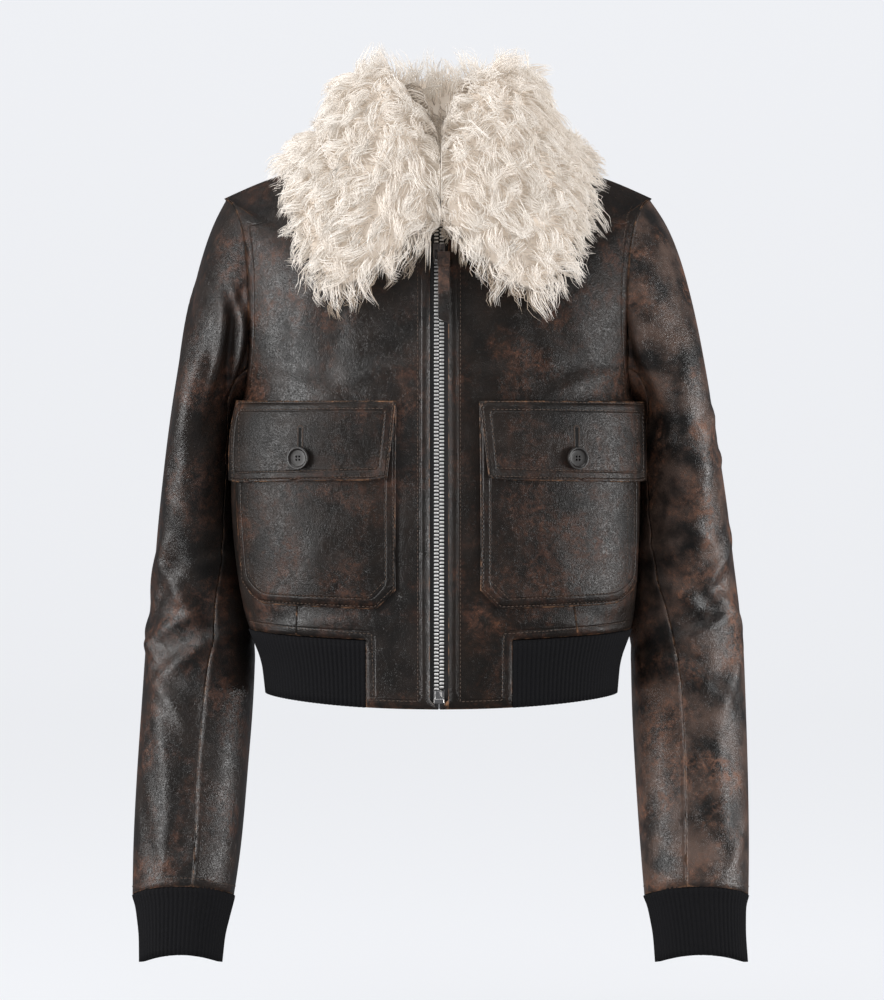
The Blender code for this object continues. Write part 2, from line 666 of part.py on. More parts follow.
def build_cuff(side, hand):
    top_z = SLEEVE_ROWS[-1][0]
    rows = []
    half = (CUFF_ROWS[0][2] - CUFF_ROWS[0][1]) / 2
    girth = 2 * math.pi * math.hypot(half, CUFF_ROWS[0][6]) / math.sqrt(2)
    count = 2 * int(girth / RIB_PITCH)
    count -= count % 8
    for drop in CUFF_DROPS:
        in_x, out_x, in_lean, out_lean, mid_y, depth = (smooth(CUFF_ROWS, k, drop) for k in range(1, 7))
        in_x += side * in_lean
        out_x += side * out_lean
        middle, half, place = (in_x + out_x) / 2, (out_x - in_x) / 2, (mid_y, top_z - drop)
        turns = np.linspace(0, 360, 241)
        line = [ring_point(middle, half, place, depth, CUFF_PITCH, turn, CUFF_SAG) for turn in turns]
        rows.append(evened(np.array(line), count + 1)[:-1])
    rows = np.array(rows)
    wrapped = np.concatenate([rows[:, -1:], rows, rows[:, :1]], axis=1)
    normals = row_normals(wrapped, 1)[:, 1:-1]
    if side < 0:
        mirror = np.array([-1, 1, 1])
        rows, normals = rows * mirror, normals * mirror
    else:
        rows, normals = rows[:, ::-1], normals[:, ::-1]
    rows = rows - normals * 0.0004
    ribbed("cuff_" + hand, rows[::-1], normals[::-1], True, 8)


# --- Pieces that lie on the front ----------------------------------------------------------------
def patch(name, panel, columns, top, bottom, lift):
    """A patch on a front panel. columns are distances from the middle; top and bottom give its
    height at each; lift tells how far its underside stands off the panel. It bends where the panel
    bends, at the panel's own rows and columns."""
    side = panel.side
    middle = (top[0] + bottom[0]) / 2
    named = [panel.place(x, middle)[0] for x in columns]
    whole = [c for c in range(math.ceil(named[0]), math.ceil(named[-1]))]
    across = sorted(named + [c for c in whole if min(abs(c - known) for known in named) > 0.30])
    spans = []
    for column in across:
        low, high = np.interp(column, named, bottom), np.interp(column, named, top)
        spans.append((panel.row_at(column, low), panel.row_at(column, high)))
    between = [r for r in range(len(panel.grid))
               if max(s[0] for s in spans) + 0.2 < r < min(s[1] for s in spans) - 0.2]
    outer, normals = [], []
    for column, (foot, head) in zip(across, spans):
        u = (column - named[0]) / (named[-1] - named[0])
        for row in [foot] + between + [head]:
            v = (row - foot) / (head - foot)
            point, normal = panel.lifted(column, row, lift(u, v) + PATCH_WALL)
            outer.append(point)
            normals.append(normal)
    faces = grid_faces(len(across), len(between) + 2, None, side > 0)
    return wall(name, np.array(outer), np.array(normals), faces, PATCH_WALL, "leather", gap=0.0)


def outer_rise(u, v):
    """A patch lies close at its inner edge and a little looser where the panel turns the side."""
    return PATCH_LIFT + 0.0008 * max(0.0, u - 0.55) / 0.45


def build_pocket(panel, hand):
    inner, outer, cut = POCKET_IN, POCKET_OUT, POCKET_CUT
    columns = [inner, inner + cut, outer - cut, outer - cut / 2, outer]
    low = POCKET_BOTTOM
    bottom = [low + cut, low, low + 0.0040, low + 0.0100, low + cut + 0.0060]
    top = [POCKET_TOP] * len(columns)
    patch("pocket_" + hand, panel, columns, top, bottom, outer_rise)


def build_flap(panel, hand):
    columns = [FLAP_IN, FLAP_IN + 0.012, FLAP_OUT - 0.006, FLAP_OUT]
    bottom = [FLAP_BOTTOM + 0.0035, FLAP_BOTTOM + 0.0015, FLAP_BOTTOM, FLAP_BOTTOM + 0.0020]
    top = [FLAP_TOP] * len(columns)

    def lift(u, v):
        curl = max(0.0, 1 - u / 0.16) * max(0.0, 1 - v / 0.35)
        loose = 0.0016 * max(0.0, u - 0.80) / 0.20
        return 2 * outer_rise(u, v) + PATCH_WALL + 0.0050 * curl + loose

    patch("flap_" + hand, panel, columns, top, bottom, lift)


def build_button(panel, hand):
    rise = 3 * PATCH_LIFT + 2 * PATCH_WALL
    back, normal = panel.lifted(*panel.place(BUTTON_X, BUTTON_Z), rise)
    profile = (
        # distance from the middle, height above the back
        (BUTTON_RADIUS * 0.72, 0.0),
        (BUTTON_RADIUS * 0.98, BUTTON_THICK * 0.40),
        (BUTTON_RADIUS, BUTTON_THICK * 0.70),
        (BUTTON_RADIUS * 0.90, BUTTON_THICK),
        (BUTTON_RADIUS * 0.72, BUTTON_THICK * 0.72),
    )
    turned("button_" + hand, back, normal, profile, 20, "horn")


def turned(name, foot, axis, profile, count, kind):
    """A round piece with flat ends, turned about an axis from its foot."""
    axis = unit(axis)
    first = unit(np.cross(axis, np.array([0.0, 0.0, 1.0])))
    second = np.cross(axis, first)
    points, faces = [], []
    for radius, height in profile:
        for k in range(count):
            a = 2 * math.pi * k / count
            points.append(foot + axis * height + (first * math.cos(a) + second * math.sin(a)) * radius)
    for r in range(len(profile) - 1):
        for k in range(count):
            n = (k + 1) % count
            faces.append([r * count + k, r * count + n, (r + 1) * count + n, (r + 1) * count + k])
    faces.append(list(range(count))[::-1])
    faces.append([(len(profile) - 1) * count + k for k in range(count)])
    return add_object(name, np.array(points), faces, kind)


# --- Collar --------------------------------------------------------------------------------------
def skin_line(side, angle, front):
    """The skin from the neckline outwards in one direction from the neck: points and normals."""
    points, normals = [], []
    parts = np.linspace(0, 1, 121)
    for level in np.linspace(8.0, 5.4, 66):
        row = body_row(side, front, parts, level)
        turns = np.degrees(np.arctan2(np.abs(row[:, 0]), NECK_Y - row[:, 1]))
        if front:
            part = float(np.interp(angle, turns, parts))
        else:
            part = float(np.interp(angle, turns[::-1], parts[::-1]))
        points.append(body_row(side, front, part, level))
        normals.append(body_normal(side, front, part, level))
    return np.array(points), np.array(normals)


def collar_section(side, angle):
    """One cut through the collar: up inside the neck, over the roll, down the fall and back under."""
    reach, roll_r, roll_z, out_r, out_z, thick = (smooth(COLLAR_ROWS, k, angle) for k in range(1, 7))
    lean_side = max(side, 0) * math.sin(math.radians(angle))
    reach *= 1 + COLLAR_LEAN[0] * lean_side
    roll_r += COLLAR_LEAN[1] * lean_side
    out_r += COLLAR_LEAN[1] * lean_side
    points, normals = skin_line(side, angle, angle <= FRONT_SHARE)
    gone = np.concatenate([[0], np.cumsum(np.linalg.norm(np.diff(points, axis=0), axis=1))])
    lie = np.stack([np.interp(np.linspace(0, reach, 5), gone, points[:, k]) for k in range(3)], axis=1)
    lean = np.stack([np.interp(np.linspace(0, reach, 5), gone, normals[:, k]) for k in range(3)], axis=1)
    lean /= np.linalg.norm(lean, axis=1, keepdims=True)
    under = [p + n * clear for p, n, clear in zip(lie, lean, COLLAR_CLEAR)]
    down = unit(under[-1] - under[-2])
    turn = math.radians(angle)
    way = np.array([side * math.sin(turn), -math.cos(turn), 0.0])
    middle = np.array([0.0, NECK_Y, 0.0])
    base = lie[0] - np.array([0.0, 0.0, lie[0][2]])
    base_r = float(np.dot(base - middle, way))

    def at(radius, z):
        return middle + way * radius + np.array([0.0, 0.0, z])

    section = [
        at(base_r - 0.0050, lie[0][2] + 0.0035),
        at(min(base_r - 0.0120, roll_r - 0.0080), 0.6 * lie[0][2] + 0.4 * roll_z),
        at(roll_r - 0.0110, roll_z - 0.0120),
        at(roll_r - 0.0045, roll_z - 0.0020),
        at(roll_r + 0.0045, roll_z),
        at(roll_r + 0.0140, roll_z - 0.0060),
        at(out_r - 0.0040, 0.55 * out_z + 0.45 * roll_z),
        at(out_r, out_z),
    ]
    low = under[-1] + lean[-1] * thick + down * 0.003
    for t in (0.35, 0.70):
        between = section[7] * (1 - t) + low * t
        section.append(between + lean[-1] * 0.006 * math.sin(math.pi * t))
    section.append(low)
    section.append(under[-1] + lean[-1] * thick * 0.45 + down * 0.0075)
    section += [under[4], under[3], under[2], under[1], under[0]]
    return section


def build_collar():
    sections = [collar_section(1, angle) for angle in COLLAR_CUTS]
    sections += [collar_section(-1, angle) for angle in COLLAR_CUTS[-2::-1]]
    around = len(sections[0])
    points = np.array(sections).reshape(-1, 3)
    faces = []
    for r in range(len(sections) - 1):
        for k in range(around):
            n = (k + 1) % around
            faces.append([r * around + k, (r + 1) * around + k, (r + 1) * around + n, r * around + n])
    faces.append(list(range(around)))
    last = (len(sections) - 1) * around
    faces.append([last + k for k in range(around)][::-1])
    return add_object("collar", points, [face[::-1] for face in faces], "fur")


# --- Zip -----------------------------------------------------------------------------------------
def centre_line(z):
    """The front edge's line at this height: its y and its normal in the y-z plane."""
    levels = np.linspace(0, 8, 321)
    heights = [body_row(1, True, 0.0, lv)[2] for lv in levels]
    level = round(float(np.interp(z, heights, levels)), 4)
    low, high = max(level - 0.05, 0), min(level + 0.05, 8)
    up = unit(body_row(1, True, 0.0, high) - body_row(1, True, 0.0, low))
    return body_row(1, True, 0.0, level)[1], np.array([0.0, -up[2], up[1]])


def strip(name, x_low, x_high, depth_out, depth_in, bottom, top, count, kind):
    """A flat strip that follows the centre line, between two depths behind the leather's face."""
    points, faces = [], []
    for k in range(count + 1):
        z = bottom + (top - bottom) * k / count
        y, normal = centre_line(z)
        for x, depth in ((x_low, depth_out), (x_high, depth_out), (x_high, depth_in), (x_low, depth_in)):
            points.append(np.array([x, y, z]) - normal * depth)
    for k in range(count):
        for c in range(4):
            d = (c + 1) % 4
            faces.append([4 * k + c, 4 * k + d, 4 * k + 4 + d, 4 * k + 4 + c])
    faces.append([3, 2, 1, 0])
    faces.append([4 * count + c for c in range(4)])
    return add_object(name, np.array(points), faces, kind)


def tape(name, panel):
    """A tape behind a front panel: it follows the panel's own rows."""
    side = panel.side
    points = []
    between = [z for z in panel.grid[:, 0, 2] if CHAIN_BOTTOM < z < CHAIN_TOP]
    heads = [CHAIN_BOTTOM - TAPE_FOOT] + between + [CHAIN_TOP]
    for z in heads:
        outer, normal = panel.lifted(*panel.place(TAPE_HALF + side * ZIP_X, z), -TAPE_BEHIND)
        edge, _ = panel.lifted(*panel.place(ZIP_SLOT + side * ZIP_X, z), -TAPE_BEHIND)
        inner = edge.copy()
        inner[0] = ZIP_X + side * (TEETH_HALF + SEAM_GAP)
        for point in (inner, edge, outer):
            points += [point, point - normal * TAPE_WALL]
    faces = []
    ring = [0, 2, 4, 5, 3, 1]
    for k in range(len(heads) - 1):
        for a, b in zip(ring, ring[1:] + ring[:1]):
            faces.append([6 * k + a, 6 * k + b, 6 * k + 6 + b, 6 * k + 6 + a])
    faces.append(ring[::-1])
    faces.append([6 * (len(heads) - 1) + a for a in ring])
    return add_object(name, np.array(points), faces, "tape")


def build_zip(panels):
    tape("zip_tape_left", panels[1])
    tape("zip_tape_right", panels[-1])
    front = TAPE_BEHIND - CHAIN_PROUD
    strip("zip_chain", ZIP_X - TEETH_HALF, ZIP_X + TEETH_HALF, front, front + CHAIN_THICK,
          CHAIN_BOTTOM, CHAIN_TOP, 24, "metal")
    block("zip_box", (ZIP_X, CHAIN_BOTTOM - ZIP_BOX_DROP), ZIP_BOX_SIZE, front - 0.0004, "metal")
    build_slider()


def block(name, place, size, depth_out, kind):
    """A small box on the centre line, its front face depth_out behind the leather's face."""
    x, z = place
    y, normal = centre_line(z)
    middle = np.array([x, y, z]) - normal * (depth_out + size[1] / 2)
    return add_object(name, box_points(middle, size), BOX_FACES, kind)


BOX_FACES = [[0, 1, 3, 2], [4, 6, 7, 5], [0, 4, 5, 1], [2, 3, 7, 6], [0, 2, 6, 4], [1, 5, 7, 3]]


def box_points(middle, size):
    half = np.array(size) / 2
    return np.array([
        middle + half * np.array([sx, sy, sz]) for sx in (-1, 1) for sy in (-1, 1) for sz in (-1, 1)
    ])


def build_slider():
    """Slider body with a bridge, the loop that hangs in the bridge, and the strap on the loop.

    They are made about the hinge, with +Y towards the chest, and then leaned to follow it.
    """
    pivot, lean = pull_hinge()
    deep = SLIDER_SIZE[1]
    body = box_object("zip_slider", (0, BRIDGE_REACH - deep / 2, 0), SLIDER_SIZE, "metal")
    bridge_back = BRIDGE_REACH - deep + BRIDGE_ROOT
    bridge_size = (BRIDGE_WIDE, bridge_back + BRIDGE_FRONT, BRIDGE_TALL)
    bridge = box_object("bridge", (0, (bridge_back - BRIDGE_FRONT) / 2, 0), bridge_size, "metal")
    hole = box_object("bridge_hole", (0, 0, 0), BRIDGE_HOLE, "metal")
    apply_boolean(bridge, hole, "DIFFERENCE")
    apply_boolean(body, bridge, "UNION")
    body.location = tuple(pivot)
    body.rotation_euler = (-lean, 0, 0)
    half, drop = LINK_HALF - LINK_ROD / 2, LINK_DROP
    bars = (
        ((0, 0, 0), (2 * LINK_HALF, LINK_ROD, LINK_ROD)),
        ((half, 0, -drop / 2), (LINK_ROD, LINK_ROD, drop + LINK_ROD)),
        ((-half, 0, -drop / 2), (LINK_ROD, LINK_ROD, drop + LINK_ROD)),
        ((0, 0, -drop), (2 * LINK_HALF, LINK_ROD, LINK_ROD)),
    )
    link, *others = [box_object("link_bar", at, size, "metal") for at, size in bars]
    for bar in others:
        apply_boolean(link, bar, "UNION")
    link.name = "zip_link"
    for helper in others + [bridge, hole]:
        bpy.data.objects.remove(helper)
    strap = add_object("zip_strap", strap_points(-drop - LINK_ROD / 2 - SEAM_GAP), BOX_FACES, "leather")
    hinge = bpy.data.objects.new("zip_pull_hinge", None)
    hinge.location = tuple(pivot)
    hinge.rotation_euler = (-lean, 0, 0)
    bpy.context.scene.collection.objects.link(hinge)
    link.parent = hinge
    strap.parent = hinge


def pull_hinge():
    """The middle of the loop's top bar, inside the bridge, and how far the pull leans forward."""
    top_y, foot_z = centre_line(SLIDER_Z)[0], SLIDER_Z - LINK_DROP - STRAP_SIZE[2]
    foot_y = centre_line(foot_z)[0]
    return np.array([ZIP_X, top_y - PIVOT_OUT, SLIDER_Z]), math.atan2(top_y - foot_y, SLIDER_Z - foot_z)


def strap_points(top):
    """The strap, cut at a slant at its foot."""
    points = box_points(np.array([0, 0, top - STRAP_SIZE[2] / 2]), STRAP_SIZE)
    points[:, 2] -= np.where(points[:, 2] < top - STRAP_SIZE[2] / 2, STRAP_SLANT * points[:, 0], 0.0)
    return points


def box_object(name, middle, size, kind):
    return add_object(name, box_points(np.array(middle, float), size), BOX_FACES, kind)


def apply_boolean(target, other, operation):
    modifier = target.modifiers.new(operation.lower(), "BOOLEAN")
    modifier.operation = operation
    modifier.object = other
    bpy.context.view_layer.update()
    graph = bpy.context.evaluated_depsgraph_get()
    mesh = bpy.data.meshes.new_from_object(target.evaluated_get(graph))
    target.modifiers.clear()
    target.data = mesh


# --- The jacket ----------------------------------------------------------------------------------
def main():
    for obj in list(bpy.data.objects):
        bpy.data.objects.remove(obj)
    skin = build_body_and_sleeves()
    build_waistband()
    panels = {}
    for side, hand in ((1, "left"), (-1, "right")):
        panels[side] = Panel(side, skin)
        build_cuff(side, hand)
        build_pocket(panels[side], hand)
        build_flap(panels[side], hand)
        build_button(panels[side], hand)
    build_collar()
    build_zip(panels)


main()
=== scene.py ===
# %% [markdown]
# # A cropped leather jacket with a fur collar
# The real jacket is cut from soft, tumbled leather that was dyed nearly black over brown, so each
# edge and seam that is rubbed shows brown. Cuffs and waist are rib knit, the collar is curly lamb
# fur, and a metal zip closes the front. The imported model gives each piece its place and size, and
# this lesson dresses it: finer shells for the cloth, real teeth on the zip, stitches and fur.

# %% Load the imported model
import math

import bpy
import numpy as np
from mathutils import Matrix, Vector
from mathutils.bvhtree import BVHTree
from mathutils.kdtree import KDTree


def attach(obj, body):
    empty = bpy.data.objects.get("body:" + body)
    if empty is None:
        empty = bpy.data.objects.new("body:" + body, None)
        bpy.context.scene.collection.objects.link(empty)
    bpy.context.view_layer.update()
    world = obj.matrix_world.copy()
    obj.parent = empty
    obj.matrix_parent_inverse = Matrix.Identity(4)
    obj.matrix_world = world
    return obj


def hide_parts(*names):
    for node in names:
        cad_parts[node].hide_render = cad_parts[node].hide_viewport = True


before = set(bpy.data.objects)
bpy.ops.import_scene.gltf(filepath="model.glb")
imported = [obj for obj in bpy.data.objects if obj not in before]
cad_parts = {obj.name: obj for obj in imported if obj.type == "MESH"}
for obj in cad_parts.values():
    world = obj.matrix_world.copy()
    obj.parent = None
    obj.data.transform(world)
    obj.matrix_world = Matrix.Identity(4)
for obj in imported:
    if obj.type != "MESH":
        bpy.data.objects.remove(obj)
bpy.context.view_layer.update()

scene = bpy.context.scene
print("pieces of the packed model:", len(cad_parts))

# %% [markdown]
# ## Camera
# A picture like this is taken with a long lens, level with the middle of the jacket, so upright
# lines stay upright. The jacket hangs about 2.6 m from the camera, a hand's width above the middle
# of its sleeves, and a hair to the wearer's left of the picture's middle.

# %% Camera
CAMERA_PLACE = (0.0035, -2.6, -0.295)
LENS = 106.4                # mm, on a sensor 36 mm high

bpy.ops.object.camera_add(location=CAMERA_PLACE, rotation=(math.radians(90), 0, 0))
camera = bpy.context.object
camera.name = "camera"
camera.data.lens = LENS
camera.data.sensor_width = 36.0
scene.camera = camera
print("camera", CAMERA_PLACE, "lens", LENS)

# %% [markdown]
# ## Room and light
# Dark leather is drawn by what it mirrors, so the light is a few large soft panels: a tall one on
# each side in front, which lays a long highlight down each sleeve and breast, and a broad one
# above. The floor and wall are one pale swept sheet, so that no horizon shows. The leather doesn't
# mirror it, as if black screens stood just outside the picture.

# %% Room and light
FLOOR_Z = -0.80
PALE = (0.807, 0.816, 0.838)


def soft_panel(name, place, target, size, power):
    """A rectangular light that faces a point."""
    bpy.ops.object.light_add(type="AREA", location=place)
    lamp = bpy.context.object
    lamp.name = name
    lamp.data.shape = "RECTANGLE"
    lamp.data.size, lamp.data.size_y = size
    lamp.data.energy = power
    lamp.rotation_euler = (Vector(target) - Vector(place)).to_track_quat("-Z", "Y").to_euler()
    return lamp


def swept_floor():
    """A floor that bends up into a wall behind."""
    bpy.ops.mesh.primitive_plane_add(size=12, location=(0, 0.5, FLOOR_Z))
    floor = bpy.context.object
    floor.name = "floor"
    for edge in floor.data.edges:
        edge.select = all(floor.data.vertices[v].co.y > 1 for v in edge.vertices)
    for vertex in floor.data.vertices:
        vertex.select = vertex.co.y > 1
    bpy.ops.object.mode_set(mode="EDIT")
    bpy.ops.mesh.select_mode(type="EDGE")
    bpy.ops.mesh.extrude_edges_move(TRANSFORM_OT_translate={"value": (0, 0, 8)})
    bpy.ops.object.mode_set(mode="OBJECT")
    bend = floor.modifiers.new("sweep", "BEVEL")
    bend.width = 2.0
    bend.segments = 16
    bpy.ops.object.modifier_apply(modifier="sweep")
    bpy.ops.object.shade_smooth()
    floor.visible_glossy = False
    paint = bpy.data.materials.new("pale_wall")
    paint.use_nodes = True
    shader = paint.node_tree.nodes["Principled BSDF"]
    shader.inputs["Base Color"].default_value = (0.16, 0.165, 0.175, 1)
    shader.inputs["Roughness"].default_value = 1.0
    shader.inputs["Specular IOR Level"].default_value = 0.0
    shader.inputs["Emission Color"].default_value = (*PALE, 1)
    shader.inputs["Emission Strength"].default_value = 0.90
    floor.data.materials.append(paint)


def light_room():
    world = bpy.data.worlds.new("room_light")
    scene.world = world
    world.use_nodes = True
    sky = world.node_tree.nodes["Background"]
    sky.inputs["Color"].default_value = (0.90, 0.93, 1.0, 1)
    sky.inputs["Strength"].default_value = 0.14
    middle = (0, 0, -0.30)
    soft_panel("panel_above", (-0.3, -1.0, 1.9), (0, 0, -0.1), (2.0, 0.9), 24)
    soft_panel("panel_left", (-2.4, -1.20, -0.1), middle, (1.20, 2.2), 92)
    soft_panel("panel_right", (2.6, -0.75, -0.60), middle, (1.50, 1.6), 100)


swept_floor()
light_room()
scene.view_settings.view_transform = "Standard"

# %% [markdown]
# ## Small helpers
# An operator works on all that is selected, so everything is deselected before each piece. A copy
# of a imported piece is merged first, because its mesh is loose triangles.

# %% Helpers for pieces
MERGE = 0.00002             # metres: points closer than this are one
RIM_ANGLE = 50              # degrees: a wall's rim is sharper than any fold
PATCH_ANGLE = 28            # and a patch has cut corners to keep


def pick(piece):
    """Make this the one selected and active object."""
    bpy.ops.object.select_all(action="DESELECT")
    piece.select_set(True)
    bpy.context.view_layer.objects.active = piece


def new_piece(name, points, faces):
    mesh = bpy.data.meshes.new(name)
    mesh.from_pydata([tuple(p) for p in points], [], [tuple(f) for f in faces])
    piece = bpy.data.objects.new(name, mesh)
    scene.collection.objects.link(piece)
    return piece


def points_of(piece):
    flat = np.empty(len(piece.data.vertices) * 3, np.float32)
    piece.data.vertices.foreach_get("co", flat)
    return flat.reshape(-1, 3).astype(float)


def normals_of(piece):
    flat = np.empty(len(piece.data.vertices) * 3, np.float32)
    piece.data.vertices.foreach_get("normal", flat)
    return flat.reshape(-1, 3).astype(float)


def move_points(piece, points):
    piece.data.vertices.foreach_set("co", points.astype(np.float32).ravel())
    piece.data.update()


def keep_value(piece, name, values):
    """Store one number for each point, for the materials to read."""
    field = piece.data.attributes.new(name, "FLOAT", "POINT")
    field.data.foreach_set("value", np.asarray(values, np.float32))


def apply_modifier(piece, kind, **settings):
    pick(piece)
    modifier = piece.modifiers.new(kind.lower(), kind)
    for key, value in settings.items():
        setattr(modifier, key, value)
    bpy.ops.object.modifier_apply(modifier=modifier.name)


def merged_copy(node_name, name, sharp=RIM_ANGLE):
    """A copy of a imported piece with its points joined, its quads back and its rims creased."""
    piece = bpy.data.objects.new(name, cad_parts[node_name].data.copy())
    scene.collection.objects.link(piece)
    piece.data.materials.clear()
    pick(piece)
    bpy.ops.mesh.customdata_custom_splitnormals_clear()
    bpy.ops.object.mode_set(mode="EDIT")
    bpy.ops.mesh.select_mode(type="EDGE")
    bpy.ops.mesh.select_all(action="SELECT")
    bpy.ops.mesh.mark_sharp(clear=True)
    bpy.ops.mesh.remove_doubles(threshold=MERGE)
    bpy.ops.mesh.tris_convert_to_quads(face_threshold=math.radians(30), shape_threshold=math.radians(60))
    bpy.ops.mesh.select_all(action="DESELECT")
    bpy.ops.mesh.edges_select_sharp(sharpness=math.radians(sharp))
    bpy.ops.transform.edge_crease(value=1)
    bpy.ops.object.mode_set(mode="OBJECT")
    return piece


def finer(piece, levels):
    """Round the piece's facets off: each level cuts every face in four."""
    apply_modifier(piece, "SUBSURF", levels=levels, render_levels=levels, boundary_smooth="PRESERVE_CORNERS")
    piece.data.shade_smooth()


def dress(piece, material, body="jacket", node_name=None):
    """Give a finished piece its material and the body it rides on."""
    piece.data.materials.clear()
    piece.data.materials.append(material)
    if node_name:
        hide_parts(node_name)
    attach(piece, body)
    return piece


def smooth_step(values, low, high):
    share = np.clip((values - low) / (high - low), 0, 1)
    return share * share * (3 - 2 * share)


def unit_rows(rows):
    return rows / np.maximum(np.linalg.norm(rows, axis=-1, keepdims=True), 1e-9)


# %% [markdown]
# ## Folds
# Leather that is worn keeps its creases: round the elbow, where the sleeve is set in, and above the
# pockets. Each crease is placed on the unrolled cloth, by its height and its place round
# the body or arm. It is a soft ridge, or a trough where its rise is below nought. A fold moves
# every point at its place outwards, so all the layers there move together, and it fades at the
# seams, so that sewn edges stay together.

# %% Fold tables
BODY_FOLDS = (
    # place round (degrees, 0 = front, + = wearer's left), height, tilt, length, half width, rise
    (-50, -0.135, 72, 0.110, 0.012, 0.0028),
    (-40, -0.165, 80, 0.090, 0.010, -0.0016),
    (50, -0.130, 108, 0.120, 0.012, 0.0026),
    (38, -0.165, 98, 0.080, 0.010, -0.0015),
    (-24, -0.186, 8, 0.120, 0.008, 0.0022),
    (-52, -0.196, -14, 0.100, 0.008, 0.0028),
    (24, -0.190, -6, 0.100, 0.009, 0.0018),
    (54, -0.194, 16, 0.090, 0.008, 0.0024),
    (-13, -0.330, 84, 0.140, 0.010, 0.0020),
    (13, -0.300, 95, 0.160, 0.011, 0.0020),
    (-46, -0.400, 6, 0.140, 0.007, 0.0024),
    (-72, -0.392, -10, 0.090, 0.008, -0.0016),
    (46, -0.399, -5, 0.130, 0.007, 0.0022),
    (74, -0.395, 12, 0.090, 0.008, -0.0015),
    (-30, -0.310, 25, 0.090, 0.009, 0.0012),
    (-44, -0.340, 70, 0.080, 0.009, 0.0012),
    (34, -0.330, -30, 0.100, 0.009, 0.0013),
    (44, -0.350, 110, 0.070, 0.009, 0.0012),
    (-84, -0.300, 78, 0.150, 0.012, 0.0014),
    (82, -0.290, 100, 0.140, 0.012, 0.0014),
    (180, -0.085, 0, 0.150, 0.012, 0.0020),
    (150, -0.120, 68, 0.120, 0.013, 0.0028),
    (-152, -0.125, 110, 0.110, 0.012, 0.0026),
    (135, -0.200, 40, 0.090, 0.010, -0.0018),
    (-138, -0.205, -36, 0.090, 0.010, -0.0018),
    (172, -0.330, 12, 0.170, 0.012, 0.0024),
    (-160, -0.365, -8, 0.150, 0.010, 0.0026),
    (148, -0.372, 10, 0.140, 0.010, 0.0026),
    (-178, -0.392, 3, 0.120, 0.008, -0.0018),
    (118, -0.330, 60, 0.090, 0.011, 0.0020),
    (-120, -0.325, 118, 0.090, 0.011, 0.0020),
)
